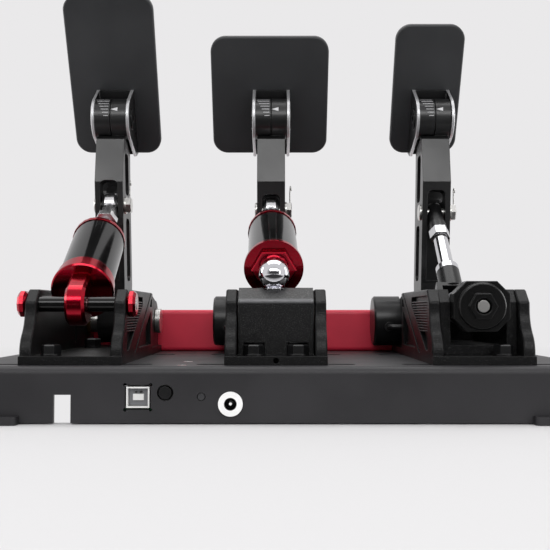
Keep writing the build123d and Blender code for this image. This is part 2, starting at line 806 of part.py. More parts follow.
# Pedal arms, their clevis bolts and faces
for name, bracket_x in pedals.items():
    arm_x = bracket_x + arm_offset[name]
    high_z = clevis_z[name] + fork_rise[name]

    with BuildPart() as arm:
        with BuildSketch(Plane.YZ.offset(arm_x)):
            Polygon(
                (place(arm_heel_in[0]), pivot_z), (place(arm_low_in[0]), arm_low_z),
                (place(arm_bend_in[0]), arm_bend_z), (place(arm_neck_in[0]), arm_shoulder_z),
                (place(arm_crest_in), arm_neck_z), (place(arm_neck_in[1]), arm_neck_z),
                (place(arm_bend_in[1]), arm_bend_z),
                (place(arm_low_in[1]), arm_low_z), (place(arm_heel_in[1]), pivot_z), align=None,
            )
            with Locations((place(pivot_in), pivot_z)):
                Circle(arm_hub_radius)
            with Locations((place(barrel_in), barrel_z)):
                Circle(barrel_radius)
        extrude(amount=arm_width / 2, both=True)
        # Fork slot, open to the rear, that the rod end works in
        with BuildPart() as fork:
            with BuildSketch(Plane.YZ.offset(arm_x)):
                Polygon(
                    (place(arm_low_in[0]) - arm_width, fork_low_z),
                    (place(arm_low_in[1]) - fork_back, fork_low_z),
                    (place(arm_bend_in[1]) - fork_back, high_z),
                    (place(arm_bend_in[0]) - arm_width, high_z), align=None,
                )
            extrude(amount=fork_width / 2, both=True)
            fillet(fork.edges().filter_by(Axis.Y).group_by(Axis.Z)[-1], fork_corner)
        add(fork.part, mode=Mode.SUBTRACT)
        # Windows through both sides, above and below the clevis boss
        with BuildSketch(Plane.YZ.offset(arm_x)) as windows:
            low_lean = (arm_bend_in[0] - arm_low_in[0]) / (arm_bend_z - arm_low_z)
            boss_top_z = clevis_z[name] + boss_half_height
            high_window_z = boss_top_z + high_window_share * (barrel_z - barrel_radius - boss_top_z)
            for low_z, top_z in (
                (fork_low_z, clevis_z[name] - boss_half_height),
                (boss_top_z, high_window_z),
            ):
                low_in = arm_low_in[0] + low_lean * (low_z - arm_low_z) + window_back
                top_in = arm_low_in[0] + low_lean * (top_z - arm_low_z) + window_back
                Polygon(
                    (place(low_in), low_z), (place(low_in + window_width), low_z),
                    (place(top_in + window_width), top_z), (place(top_in), top_z), align=None,
                )
            fillet(windows.vertices(), window_corner)
        extrude(amount=arm_width, both=True, mode=Mode.SUBTRACT)
        # Bores for the pivot shaft and the clevis bolt
        with BuildSketch(Plane.YZ.offset(arm_x)):
            with Locations((place(pivot_in), pivot_z)):
                Circle(shaft_radius)
            with Locations((place(clevis_in), clevis_z[name])):
                Circle(clevis_radius)
        extrude(amount=arm_width, both=True, mode=Mode.SUBTRACT)
        # Half of the hinge barrel, and room for the other half
        with BuildSketch(along(arm_x + barrel_split / 2, barrel_in, barrel_z)):
            Circle(barrel_radius + soft_clearance + barrel_split)
        extrude(amount=-barrel_width, mode=Mode.SUBTRACT)
        with BuildSketch(along(arm_x + barrel_split / 2, barrel_in, barrel_z)):
            Circle(barrel_radius)
        extrude(amount=(barrel_width - barrel_split) / 2)
        with BuildSketch(along(arm_x, barrel_in, barrel_z)):
            Circle(hinge_bolt_radius + running_clearance)
        extrude(amount=barrel_width, both=True, mode=Mode.SUBTRACT)
    keep(arm.part, f"{name}_arm")

    with BuildPart() as clevis_bolt:
        left_face = arm_x - arm_width / 2
        right_face = arm_x + arm_width / 2
        with BuildSketch(along(left_face, clevis_in, clevis_z[name])):
            Circle(clevis_radius)
        extrude(amount=arm_width + clevis_washer_thickness + clevis_nut_height)
        with BuildSketch(along(left_face, clevis_in, clevis_z[name])):
            Circle(clevis_head_radius)
        extrude(amount=-clevis_head_height)
        with BuildSketch(along(right_face, clevis_in, clevis_z[name])):
            Circle(clevis_washer_radius)
        extrude(amount=clevis_washer_thickness)
        with BuildSketch(along(right_face + clevis_washer_thickness, clevis_in, clevis_z[name])):
            RegularPolygon(clevis_nut_across / 2, 6, major_radius=False)
        extrude(amount=clevis_nut_height)
        ends = clevis_bolt.faces().filter_by(Axis.X).sort_by(Axis.X)
        chamfer(ends[0].edges() + ends[-1].edges(), clevis_chamfer)
    keep(clevis_bolt.part, f"{name}_clevis_bolt")

    # Face side plane: X of the sketch runs up the face, Y runs away from the driver
    lean = radians(face_lean)
    cheek_inner = barrel_width / 2 + soft_clearance
    cheek_outer = cheek_inner + cheek_thickness
    with BuildPart() as face_bracket:
        for side in (-1, 1):
            cheek_plane = Plane(
                (arm_x + side * cheek_inner, place(barrel_in), barrel_z),
                x_dir=(0, -sin(lean), cos(lean)), z_dir=(1, 0, 0),
            )
            with BuildSketch(cheek_plane):
                with BuildLine():
                    Line((cheek_heel_radius - face_drop, -face_stand), (web_rise, -face_stand))
                    Line((web_rise, -face_stand), (web_rise, -face_stand + web_thickness))
                    CenterArc((cheek_heel_radius - face_drop, cheek_heel_radius - face_stand),
                              cheek_heel_radius, 0, 360)
                    CenterArc((0, 0), cheek_radius, 0, 360)
                make_hull()
            extrude(amount=side * cheek_thickness)
            chamfer(face_bracket.faces().sort_by(Axis.X)[-1 if side > 0 else 0].edges(), cheek_edge)
        web_plane = Plane(
            (arm_x, place(barrel_in), barrel_z),
            x_dir=(-1, 0, 0), z_dir=(0, cos(lean), sin(lean)),
        )
        with BuildSketch(web_plane.offset(face_stand)):
            with Locations((0, (web_rise - face_drop) / 2)):
                Rectangle(2 * cheek_outer, web_rise + face_drop)
        extrude(amount=-web_thickness)
        # Scale half of the hinge barrel
        with BuildSketch(along(arm_x - barrel_split / 2, barrel_in, barrel_z)):
            Circle(barrel_radius)
        extrude(amount=barrel_split / 2 - cheek_inner)
        with BuildSketch(along(arm_x, barrel_in, barrel_z)):
            Circle(hinge_bolt_radius)
        extrude(amount=barrel_width, both=True, mode=Mode.SUBTRACT)
    keep(face_bracket.part, f"{name}_face_bracket")

    with BuildPart() as face_bolt:
        with BuildSketch(along(arm_x - cheek_outer, barrel_in, barrel_z)):
            Circle(hinge_bolt_radius)
        extrude(amount=2 * cheek_outer)
        for side in (-1, 1):
            with BuildSketch(along(arm_x + side * cheek_outer, barrel_in, barrel_z)):
                Circle(hinge_cap_radius)
            extrude(amount=side * hinge_cap_height)
            with BuildSketch(along(arm_x + side * (cheek_outer + hinge_cap_height), barrel_in, barrel_z)):
                RegularPolygon(hinge_socket_across / 2, 6, major_radius=False)
            extrude(amount=-side * hinge_socket_depth, mode=Mode.SUBTRACT)
    keep(face_bolt.part, f"{name}_face_bolt")

    with BuildPart() as face_plate:
        height = face_height[name]
        width = face_width[name]
        with BuildSketch(web_plane.offset(face_stand)):
            with Locations((-face_offset[name], height / 2 - face_drop)):
                RectangleRounded(width, height, face_corner)
        extrude(amount=face_thickness)
        chamfer(face_plate.faces().filter_by(web_plane).edges(), face_edge)
        # Grip grooves across the driver's side
        with BuildSketch(web_plane.offset(face_stand + face_thickness)):
            with Locations((-face_offset[name], height / 2 - face_drop)):
                with GridLocations(0, groove_pitch, 1, int((height - 2 * face_corner) / groove_pitch)):
                    SlotOverall(width - 2 * groove_margin, groove_width)
        extrude(amount=-groove_depth, mode=Mode.SUBTRACT)
    keep(face_plate.part, f"{name}_face_plate")


def rod_assembly(node, damper, length, tube_start, tube_length, tube_bore):
    """Piston rod and rod end of a damper whose tube starts and ends at the given distances."""
    nut_start = length - rod_end_radius - rod_end_shank - rod_nut_height
    piston_start = tube_start + tube_length - piston_rest_gap - piston_length
    with BuildPart() as rod:
        with BuildSketch(damper.offset(piston_start)):
            Circle(rod_radius)
        extrude(amount=nut_start + rod_nut_height - piston_start)
        with BuildSketch(damper.offset(piston_start)):
            Circle(tube_bore - seat_clearance)
        extrude(amount=piston_length)
    keep(rod.part, f"{node}_rod")

    eye_plane = along(pedals[node] + arm_offset[node], clevis_in, clevis_z[node])
    with BuildPart() as rod_end:
        with BuildSketch(eye_plane):
            Circle(rod_end_radius)
        extrude(amount=rod_end_width / 2, both=True)
        chamfer(rod_end.faces().filter_by(Axis.X).edges(), rod_end_chamfer)
        with BuildSketch(damper.offset(nut_start + rod_nut_height)):
            Circle(rod_end_shank_radius)
        extrude(amount=rod_end_shank + rod_end_radius - clevis_radius)
        with BuildSketch(eye_plane):
            Circle(clevis_radius + link_clearance)
        extrude(amount=rod_end_width, both=True, mode=Mode.SUBTRACT)
        with BuildSketch(damper.offset(nut_start)):
            RegularPolygon(rod_nut_across / 2, 6, major_radius=False)
            Circle(rod_radius, mode=Mode.SUBTRACT)
        extrude(amount=rod_nut_height)
    keep(rod_end.part, f"{node}_rod_end")
    return piston_start


# Throttle damper
throttle_x = pedals["throttle"]
throttle_damper, throttle_length = spread("throttle", throttle_x, cross_pin_in, cross_pin_z)

with BuildPart() as throttle_cross_pin:
    pin_half = bracket_width / 2 + end_nut_thickness + seat_clearance
    with BuildSketch(along(throttle_x, cross_pin_in, cross_pin_z)):
        Circle(cross_pin_radius)
    extrude(amount=pin_half, both=True)
keep(throttle_cross_pin.part, "throttle_cross_pin")

with BuildPart() as throttle_pin_sleeves:
    for side in (-1, 1):
        with BuildSketch(along(throttle_x + side * (lug_width / 2 + soft_clearance), cross_pin_in, cross_pin_z)):
            Circle(sleeve_radius)
            Circle(cross_pin_radius + running_clearance, mode=Mode.SUBTRACT)
        extrude(amount=side * (bracket_width / 2 - bracket_wall - lug_width / 2 - soft_clearance))
keep(throttle_pin_sleeves.part, "throttle_pin_sleeves")

with BuildPart() as throttle_end_nuts:
    for side in (-1, 1):
        with BuildSketch(along(throttle_x + side * bracket_width / 2, cross_pin_in, cross_pin_z)):
            RegularPolygon(end_nut_radius, end_nut_facets)
        extrude(amount=side * end_nut_thickness)
    chamfer(throttle_end_nuts.faces().filter_by(Axis.X).edges(), end_nut_chamfer)
    with BuildSketch(along(throttle_x, cross_pin_in, cross_pin_z)):
        Circle(cross_pin_radius)
    extrude(amount=bracket_width, both=True, mode=Mode.SUBTRACT)
keep(throttle_end_nuts.part, "throttle_end_nuts")

throttle_bore = throttle_tube_radius - throttle_tube_wall
throttle_tube_start = lug_shank + end_cap_length
throttle_spigot = throttle_tube_wall + seat_clearance

with BuildPart() as throttle_cylinder_end:
    with BuildSketch(throttle_damper.offset(lug_shank)):
        Circle(end_cap_radius)
    extrude(amount=end_cap_rim)
    chamfer(throttle_cylinder_end.faces().filter_by(throttle_damper).edges(), end_cap_edge)
    with BuildSketch(throttle_damper.offset(lug_shank + end_cap_rim)):
        Circle(end_cap_neck_radius)
    extrude(amount=end_cap_length - end_cap_rim)
    with BuildSketch(throttle_damper.offset(throttle_tube_start)):
        Circle(throttle_bore - seat_clearance)
    extrude(amount=throttle_spigot)
    # The lug stands square to the cross pin
    run = throttle_damper.z_dir
    lug_plane = Plane(throttle_damper.origin, x_dir=(0, run.Y, run.Z), z_dir=(1, 0, 0))
    with BuildPart() as lug:
        with BuildSketch(lug_plane):
            Circle(lug_radius)
            with Locations(((lug_shank + end_cap_length / 2) / 2, 0)):
                Rectangle(lug_shank + end_cap_length / 2, 2 * lug_radius)
        extrude(amount=lug_width / 2, both=True)
        chamfer(lug.faces().filter_by(Axis.X).edges(), lug_edge)
    add(lug.part)
    with BuildSketch(lug_plane):
        Circle(cross_pin_radius + running_clearance)
    extrude(amount=lug_width, both=True, mode=Mode.SUBTRACT)
keep(throttle_cylinder_end.part, "throttle_cylinder_end")

with BuildPart() as throttle_tube:
    with BuildSketch(throttle_damper.offset(throttle_tube_start)):
        Circle(throttle_tube_radius)
        Circle(throttle_bore, mode=Mode.SUBTRACT)
    extrude(amount=throttle_tube_length)
keep(throttle_tube.part, "throttle_tube")

with BuildPart() as throttle_ring:
    with BuildSketch(throttle_damper.offset(throttle_tube_start + throttle_tube_length)):
        RegularPolygon(throttle_tube_radius + ring_overhang, ring_facets)
    extrude(amount=ring_thickness)
    chamfer(throttle_ring.faces().filter_by(throttle_damper).sort_by(Axis.Y)[-1].edges(), ring_chamfer)
    with BuildSketch(throttle_damper):
        Circle(rod_radius + running_clearance)
    extrude(amount=throttle_length, mode=Mode.SUBTRACT)
keep(throttle_ring.part, "throttle_ring")

throttle_piston = rod_assembly("throttle", throttle_damper, throttle_length,
                               throttle_tube_start, throttle_tube_length, throttle_bore)

with BuildPart() as throttle_spring:
    spring_start = throttle_tube_start + throttle_spigot + soft_clearance
    with BuildSketch(throttle_damper.offset(spring_start)):
        Circle(throttle_bore - 2 * soft_clearance)
        Circle(throttle_bore - 2 * soft_clearance - spring_wall, mode=Mode.SUBTRACT)
    extrude(amount=throttle_piston - soft_clearance - spring_start)
keep(throttle_spring.part, "throttle_spring")

# Brake damper on its load cell
brake_x = pedals["brake"]
ball_x = brake_x + ball_offset
brake_damper, brake_length = spread("brake", ball_x, ball_in, ball_z)
brake_bore = brake_tube_radius - brake_tube_wall
cell_top = base_height + bracket_plate + cell_height
nut_low = ball_z - ball_radius + ball_sink - ball_nut_height

with BuildPart() as brake_load_cell:
    with BuildSketch(Plane.XY.offset(base_height + bracket_plate)):
        with Locations((brake_x, place((cell_back_in + cell_front_in) / 2))):
            Rectangle(cell_width, cell_front_in - cell_back_in)
    extrude(amount=cell_height)
    with BuildSketch(Plane.XZ.offset(-place(cell_front_in))):
        with Locations((brake_x, cell_top - cell_height / 2)):
            SlotOverall(cell_width / 2 + cell_hole_radius, 2 * cell_hole_radius)
    extrude(amount=cell_front_in - cell_back_in, mode=Mode.SUBTRACT)
keep(brake_load_cell.part, "brake_load_cell")

with BuildPart() as brake_cover:
    cover_shoulder = (place(cover_back_in), bracket_shoulder_z + cover_rise)
    cover_crest = (place(bracket_crest_in), bracket_top_z + cover_rise)
    cover_outline = [
        (place(cover_back_in), base_height + bracket_plate),
        cover_shoulder,
        cover_crest,
        (place(cover_brow_in), bracket_top_z + cover_rise),
        (place(cover_front_in), cover_brow_z),
        (place(cover_front_in), base_height + bracket_plate),
    ]
    with BuildSketch(Plane.YZ.offset(brake_x)) as cover_side:
        Polygon(*cover_outline, align=None)
        for corner in (cover_shoulder, cover_crest):
            fillet(cover_side.vertices().sort_by_distance(Vector(*corner))[0], cover_edge)
    extrude(amount=cover_half_width, both=True)
    # Hollow inside, open below
    with BuildSketch(Plane.YZ.offset(brake_x)):
        Polygon(*cover_outline, align=None)
        offset(amount=-cover_wall, mode=Mode.REPLACE)
        with Locations((place((cell_back_in + cell_front_in) / 2), base_height + bracket_plate)):
            Rectangle(cell_front_in - cell_back_in, 2 * cover_wall)
    extrude(amount=cover_half_width - cover_wall, both=True, mode=Mode.SUBTRACT)
    # Notches round the bolt heads, and the recess of the stud's nut
    with BuildSketch(Plane.XY.offset(base_height)):
        with Locations((brake_x, place(rear_bolt_in))):
            with GridLocations(2 * bolt_x, 0, 2, 1):
                Circle(cover_notch_radius)
        with Locations((brake_x, place(rear_bolt_in - cover_notch_radius))):
            with GridLocations(2 * bolt_x, 0, 2, 1):
                Rectangle(2 * cover_notch_radius, 2 * cover_notch_radius)
    extrude(amount=bracket_plate + cover_notch_height, mode=Mode.SUBTRACT)
    with BuildSketch(Plane.XY.offset(nut_low)):
        with Locations((ball_x, place(ball_in))):
            Circle(cover_nut_recess)
    extrude(amount=ball_radius, mode=Mode.SUBTRACT)
    with BuildSketch(Plane.XY.offset(cell_top)):
        with Locations((ball_x, place(ball_in))):
            Circle(stud_shoulder_radius + soft_clearance)
    extrude(amount=nut_low - cell_top, mode=Mode.SUBTRACT)
keep(brake_cover.part, "brake_cover")

with BuildPart() as brake_ball_stud:
    with BuildSketch(Plane.XY.offset(cell_top)):
        with Locations((ball_x, place(ball_in))):
            Circle(stud_radius)
    extrude(amount=ball_z - cell_top)
    with BuildSketch(Plane.XY.offset(cell_top)):
        with Locations((ball_x, place(ball_in))):
            Circle(stud_shoulder_radius)
    extrude(amount=nut_low - cell_top)
    with BuildSketch(Plane.XY.offset(nut_low)):
        with Locations((ball_x, place(ball_in))):
            RegularPolygon(ball_nut_across / 2, 6, major_radius=False)
    extrude(amount=ball_nut_height)
    with Locations((ball_x, place(ball_in), ball_z)):
        Sphere(ball_radius)
keep(brake_ball_stud.part, "brake_ball_stud")

socket_end = socket_start + socket_length
brake_tube_start = socket_end + socket_flange_thickness
with BuildPart() as brake_socket:
    with BuildSketch(brake_damper.offset(socket_start)):
        RegularPolygon(socket_collar_across / 2, 6, major_radius=False)
    extrude(amount=socket_length)
    chamfer(brake_socket.faces().filter_by(brake_damper).sort_by(Axis.Y)[0].edges(), socket_edge)
    with BuildSketch(brake_damper.offset(socket_end)):
        Circle(socket_flange_radius)
    extrude(amount=socket_flange_thickness)
    with BuildSketch(brake_damper.offset(brake_tube_start)):
        Circle(brake_bore - seat_clearance)
    extrude(amount=brake_tube_wall)
    with Locations((ball_x, place(ball_in), ball_z)):
        Sphere(ball_radius + soft_clearance, mode=Mode.SUBTRACT)
keep(brake_socket.part, "brake_socket")

with BuildPart() as brake_tube:
    with BuildSketch(brake_damper.offset(brake_tube_start)):
        Circle(brake_tube_radius)
        Circle(brake_bore, mode=Mode.SUBTRACT)
    extrude(amount=brake_tube_length)
keep(brake_tube.part, "brake_tube")

with BuildPart() as brake_ring:
    with BuildSketch(brake_damper.offset(brake_tube_start + brake_tube_length)):
        RegularPolygon(brake_tube_radius + ring_overhang, ring_facets)
    extrude(amount=ring_thickness)
    chamfer(brake_ring.faces().filter_by(brake_damper).sort_by(Axis.Y)[-1].edges(), ring_chamfer)
    with BuildSketch(brake_damper):
        Circle(rod_radius + running_clearance)
    extrude(amount=brake_length, mode=Mode.SUBTRACT)
keep(brake_ring.part, "brake_ring")

brake_piston = rod_assembly("brake", brake_damper, brake_length,
                            brake_tube_start, brake_tube_length, brake_bore)

with BuildPart() as brake_elastomers:
    stack_start = brake_tube_start + brake_tube_wall + soft_clearance
    stack_pitch = (brake_piston - stack_start) / elastomer_count
    for index in range(elastomer_count):
        with BuildSketch(brake_damper.offset(stack_start + index * stack_pitch)):
            Circle(brake_bore - 2 * soft_clearance)
        extrude(amount=stack_pitch - soft_clearance)
keep(brake_elastomers.part, "brake_elastomers")

# Clutch linkage
clutch_x = pedals["clutch"]
frame_half = bracket_width / 2 - bracket_wall - seat_clearance
frame_floor = base_height + bracket_plate
block_front_in = block_back_in + block_thickness

with BuildPart() as clutch_frame:
    with BuildSketch(Plane.XY.offset(frame_floor)):
        with Locations((clutch_x, place((frame_back_in + frame_front_in) / 2))):
            Rectangle(2 * frame_half, frame_front_in - frame_back_in)
    extrude(amount=frame_bar)
    for side in (-1, 1):
        with BuildSketch(Plane.YZ.offset(clutch_x + side * frame_half)):
            Polygon(
                (place(frame_back_in), frame_floor), (place(frame_back_in), bracket_shoulder_z),
                (place(frame_crest_in), bracket_top_z), (place(frame_step_in), bracket_top_z),
                (place(frame_step_in + frame_step_run), frame_low_z),
                (place(frame_front_in), frame_low_z), (place(frame_front_in), frame_floor), align=None,
            )
        extrude(amount=-side * frame_wall)
    # Front wall that carries the far end of the guide rod
    with BuildSketch(Plane.XZ.offset(-place(frame_front_in))):
        with Locations((clutch_x, (frame_floor + frame_low_z) / 2)):
            Rectangle(2 * frame_half, frame_low_z - frame_floor)
    extrude(amount=frame_wall)
    with BuildSketch(Plane.XZ.offset(-place(frame_front_in) - overrun)):
        with Locations((clutch_x, guide_z)):
            Circle(guide_radius)
    extrude(amount=frame_wall + 2 * overrun, mode=Mode.SUBTRACT)
keep(clutch_frame.part, "clutch_frame")

with BuildPart() as clutch_end_block:
    with BuildSketch(Plane.XZ.offset(-place(block_front_in))) as block_face:
        with Locations((clutch_x, guide_z)):
            Rectangle(block_width, block_height)
        chamfer(block_face.vertices(), block_cut)
    extrude(amount=block_thickness)
    with BuildSketch(Plane.XZ.offset(-place(block_back_in))):
        with Locations((clutch_x, guide_z)):
            Circle(disc_radius)
    extrude(amount=disc_thickness)
    chamfer(clutch_end_block.faces().sort_by(Axis.Y)[0].edges(), disc_edge)
    # Hex ring with a wide bore in which the guide rod's tail shows
    hex_rear_in = block_back_in - disc_thickness - preload_nut_height
    with BuildSketch(Plane.XZ.offset(-place(block_back_in - disc_thickness))):
        with Locations((clutch_x, guide_z)):
            RegularPolygon(preload_nut_across / 2, 6, major_radius=False)
    extrude(amount=preload_nut_height)
    with BuildSketch(Plane.XZ.offset(-place(hex_rear_in))):
        with Locations((clutch_x, guide_z)):
            Circle(preload_bore_radius)
    extrude(amount=-preload_bore_depth, mode=Mode.SUBTRACT)
    with BuildSketch(Plane.XZ.offset(-place(block_front_in) - overrun)):
        with Locations((clutch_x, guide_z)):
            Circle(guide_radius + seat_clearance)
    extrude(amount=block_front_in - hex_rear_in + 2 * overrun, mode=Mode.SUBTRACT)
keep(clutch_end_block.part, "clutch_end_block")

with BuildPart() as clutch_guide_rod:
    with BuildSketch(Plane.XZ.offset(-place(guide_tail_in))):
        with Locations((clutch_x, guide_z)):
            Circle(guide_radius)
    extrude(amount=guide_tail_in - guide_front_in)
keep(clutch_guide_rod.part, "clutch_guide_rod")

with BuildPart() as clutch_slider:
    with BuildSketch(Plane.XZ.offset(-place(slider_in - slider_length / 2))):
        with Locations((clutch_x, guide_z)):
            Rectangle(slider_width, slider_height)
    extrude(amount=-slider_length)
    fillet(clutch_slider.edges().filter_by(Axis.Y), guide_radius / 2)
    pin_reach = slider_width / 2 + soft_clearance + strut_cheek
    with BuildSketch(along(clutch_x, slider_in, guide_z)):
        Circle(slider_pin_radius)
    extrude(amount=pin_reach, both=True)
    with BuildSketch(Plane.XZ.offset(-place(slider_in + slider_length))):
        with Locations((clutch_x, guide_z)):
            Circle(guide_radius + running_clearance)
    extrude(amount=2 * slider_length, mode=Mode.SUBTRACT)
keep(clutch_slider.part, "clutch_slider")

strut_plane, strut_length = spread("clutch", clutch_x, slider_in, guide_z)
strut_run = strut_plane.z_dir
with BuildPart() as clutch_strut:
    # Fork over the slider, square to its pin
    cheek_plane = Plane(strut_plane.origin, x_dir=(0, strut_run.Y, strut_run.Z), z_dir=(1, 0, 0))
    for side in (-1, 1):
        with BuildSketch(cheek_plane.offset(side * (slider_width / 2 + soft_clearance))):
            Circle(strut_fork_radius)
            with Locations(((strut_crotch + strut_bridge) / 2, 0)):
                Rectangle(strut_crotch + strut_bridge, 2 * strut_fork_radius)
            Circle(slider_pin_radius + running_clearance, mode=Mode.SUBTRACT)
        extrude(amount=side * strut_cheek)
    with BuildSketch(cheek_plane):
        with Locations((strut_crotch + strut_bridge / 2, 0)):
            Rectangle(strut_bridge, 2 * strut_fork_radius)
    extrude(amount=pin_reach, both=True)
    body_start = strut_crotch + strut_bridge / 2
    nut_end = strut_length - strut_cap_length
    with BuildSketch(strut_plane.offset(body_start)):
        Circle(strut_body_radius)
    extrude(amount=strut_body_length + strut_bridge / 2)
    with BuildSketch(strut_plane.offset(body_start)):
        Circle(strut_tube_radius)
    extrude(amount=nut_end - body_start)
    with BuildSketch(strut_plane.offset(nut_end - strut_nut_height)):
        RegularPolygon(strut_nut_across / 2, 6, major_radius=False)
    extrude(amount=strut_nut_height)
    with BuildSketch(strut_plane.offset(nut_end)):
        Circle(strut_cap_radius)
    extrude(amount=strut_cap_reach)
    with BuildSketch(strut_plane.offset(nut_end)):
        Circle(strut_neck_radius)
    extrude(amount=strut_cap_length + strut_tip)
    fillet(clutch_strut.faces().filter_by(strut_plane).sort_by(Axis.Y)[-1].edges(), strut_tip_round)
    with BuildSketch(along(clutch_x + arm_offset["clutch"], clevis_in, clevis_z["clutch"])):
        Circle(clevis_radius + link_clearance)
    extrude(amount=rod_end_width, both=True, mode=Mode.SUBTRACT)
keep(clutch_strut.part, "clutch_strut")

# Spring between the end block and the slider: each half turn is two arcs that meet smoothly
spring_low_y = place(block_front_in) + clutch_wire_radius + seat_clearance
spring_high_y = place(slider_in - slider_length / 2) - clutch_wire_radius - seat_clearance
spring_rise = (spring_high_y - spring_low_y) / (2 * pi * clutch_spring_turns)


def coil_point(angle):
    """Point and direction of the spring's wire at an angle along its turns."""
    point = Vector(
        clutch_x + clutch_spring_radius * cos(angle),
        spring_low_y + spring_rise * angle,
        guide_z + clutch_spring_radius * sin(angle),
    )
    heading = Vector(-clutch_spring_radius * sin(angle), spring_rise, clutch_spring_radius * cos(angle))
    return point, heading.normalized()


with BuildPart() as clutch_spring:
    with BuildLine() as coil:
        for half_turn in range(2 * clutch_spring_turns):
            start, start_way = coil_point(half_turn * pi)
            finish, finish_way = coil_point((half_turn + 1) * pi)
            chord = finish - start
            ways = start_way + finish_way
            a = ways.dot(ways) - 4
            b = -2 * chord.dot(ways)
            reach = (-b - sqrt(b * b - 4 * a * chord.dot(chord))) / (2 * a)
            first_corner = start + start_way * reach
            second_corner = finish - finish_way * reach
            middle = (first_corner + second_corner) / 2
            TangentArc(start, middle, tangent=start_way)
            TangentArc(middle, finish, tangent=second_corner - first_corner)
    start, start_way = coil_point(0)
    with BuildSketch(Plane(start, z_dir=start_way)):
        Circle(clutch_wire_radius)
    sweep(path=coil.wires()[0])
wire_share = clutch_spring.part.volume / (pi * clutch_wire_radius**2 * coil.wires()[0].length)
print("clutch spring: volume over section times length", round(wire_share, 3),
      "gap between turns", round(2 * pi * spring_rise - 2 * clutch_wire_radius, 2))
keep(clutch_spring.part, "clutch_spring")
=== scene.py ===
# %% [markdown]
# # A sim racing pedal set
# The pedal set is made of sheet steel, machined and anodised aluminium, chromed rods and a few moulded
# parts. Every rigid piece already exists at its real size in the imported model, so this lesson loads it
# as a fixed frame and gives each piece the finish of the real one. It then models what the frame leaves
# out: cooling fins, printed marks, the insides of the sockets, elbows for the wires, and wire clips.

# %% Load the frame
import json
import math

import bpy
from mathutils import Matrix, Vector


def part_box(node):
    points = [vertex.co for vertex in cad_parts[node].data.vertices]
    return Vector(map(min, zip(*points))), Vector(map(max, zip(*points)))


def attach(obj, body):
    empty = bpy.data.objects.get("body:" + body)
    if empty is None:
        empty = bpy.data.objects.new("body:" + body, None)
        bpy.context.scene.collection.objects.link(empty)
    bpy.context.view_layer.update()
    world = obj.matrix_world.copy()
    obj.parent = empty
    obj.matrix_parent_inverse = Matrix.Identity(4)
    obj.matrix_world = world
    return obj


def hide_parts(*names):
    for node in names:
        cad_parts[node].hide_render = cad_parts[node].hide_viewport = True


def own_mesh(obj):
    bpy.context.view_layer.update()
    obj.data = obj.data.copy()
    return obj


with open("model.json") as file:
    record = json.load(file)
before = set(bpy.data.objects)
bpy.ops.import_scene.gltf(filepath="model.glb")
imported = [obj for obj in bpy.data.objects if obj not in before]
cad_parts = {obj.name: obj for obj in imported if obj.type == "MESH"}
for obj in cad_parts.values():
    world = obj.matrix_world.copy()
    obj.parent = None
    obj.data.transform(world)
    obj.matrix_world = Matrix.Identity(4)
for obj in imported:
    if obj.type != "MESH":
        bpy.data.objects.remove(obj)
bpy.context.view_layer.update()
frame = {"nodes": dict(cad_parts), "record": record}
nodes = frame["nodes"]
bpy.ops.object.select_all(action="DESELECT")
# Blender counts in metres, so a size in millimetres is multiplied by this
MM = 0.001
PEDALS = ("throttle", "brake", "clutch")

# %% [markdown]
# ## Colours and shader nodes
# Paint makers give colours as sRGB hex values, while shaders work in linear light, so one function turns
# the first into the second. A second small function adds a shader node with its settings and links, which
# keeps every material below short enough to read in one go.


# %% Two helpers for materials
def linear(hex_colour):
    """Linear RGBA of an sRGB hex value."""
    values = [int(hex_colour[i:i + 2], 16) / 255 for i in (1, 3, 5)]
    return [v / 12.92 if v <= 0.04045 else ((v + 0.055) / 1.055) ** 2.4 for v in values] + [1]


def add(tree, kind, inputs, **settings):
    """Add a shader node. Inputs are values, or sockets of other nodes to link."""
    node = tree.nodes.new("ShaderNode" + kind)
    for name, value in settings.items():
        setattr(node, name, value)
    for name, value in inputs.items():
        if isinstance(value, bpy.types.NodeSocket):
            tree.links.new(value, node.inputs[name])
        else:
            node.inputs[name].default_value = value
    return node


# %% [markdown]
# ## One recipe for coated, plated and moulded surfaces
# A real surface is never one flat colour. Powder coat has orange peel, anodising keeps the tool marks of
# the mill under it, and moulded plastic has a fine spark-eroded grain. The recipe starts from the
# material's own colour, varies it a little in large soft patches, varies the gloss in the same patches,
# and adds a grain whose size is a real one in millimetres. A bevel node rounds the normals near each
# edge, as a deburring wheel rounds the real edges, and that gives the thin bright lines along them.

# %% Values that all finishes share
# Most of a noise texture's values lie between these two
NOISE_LOW, NOISE_HIGH = 0.3, 0.7
# Flecks fade in where the grain's value rises from the first to the second
FLECK_START, FLECK_FULL = 0.56, 0.74
# A grain is three times as wide as it is high
GRAIN_WIDTH_BY_HEIGHT = 3
# Even a deep black lightens by this much in its patches, and even a mirror keeps this roughness
LEAST_LIFT, LEAST_ROUGHNESS = 0.001, 0.02
PATCH_MM, COAT_ROUGHNESS, EDGE_SAMPLES = 35, 0.04, 6
# A Mix node numbers its sockets: the first set mixes two numbers, the second two colours
NUMBER_A, NUMBER_B, NUMBER_OUT = 2, 3, 0
COLOUR_A, COLOUR_B, COLOUR_OUT = 6, 7, 2


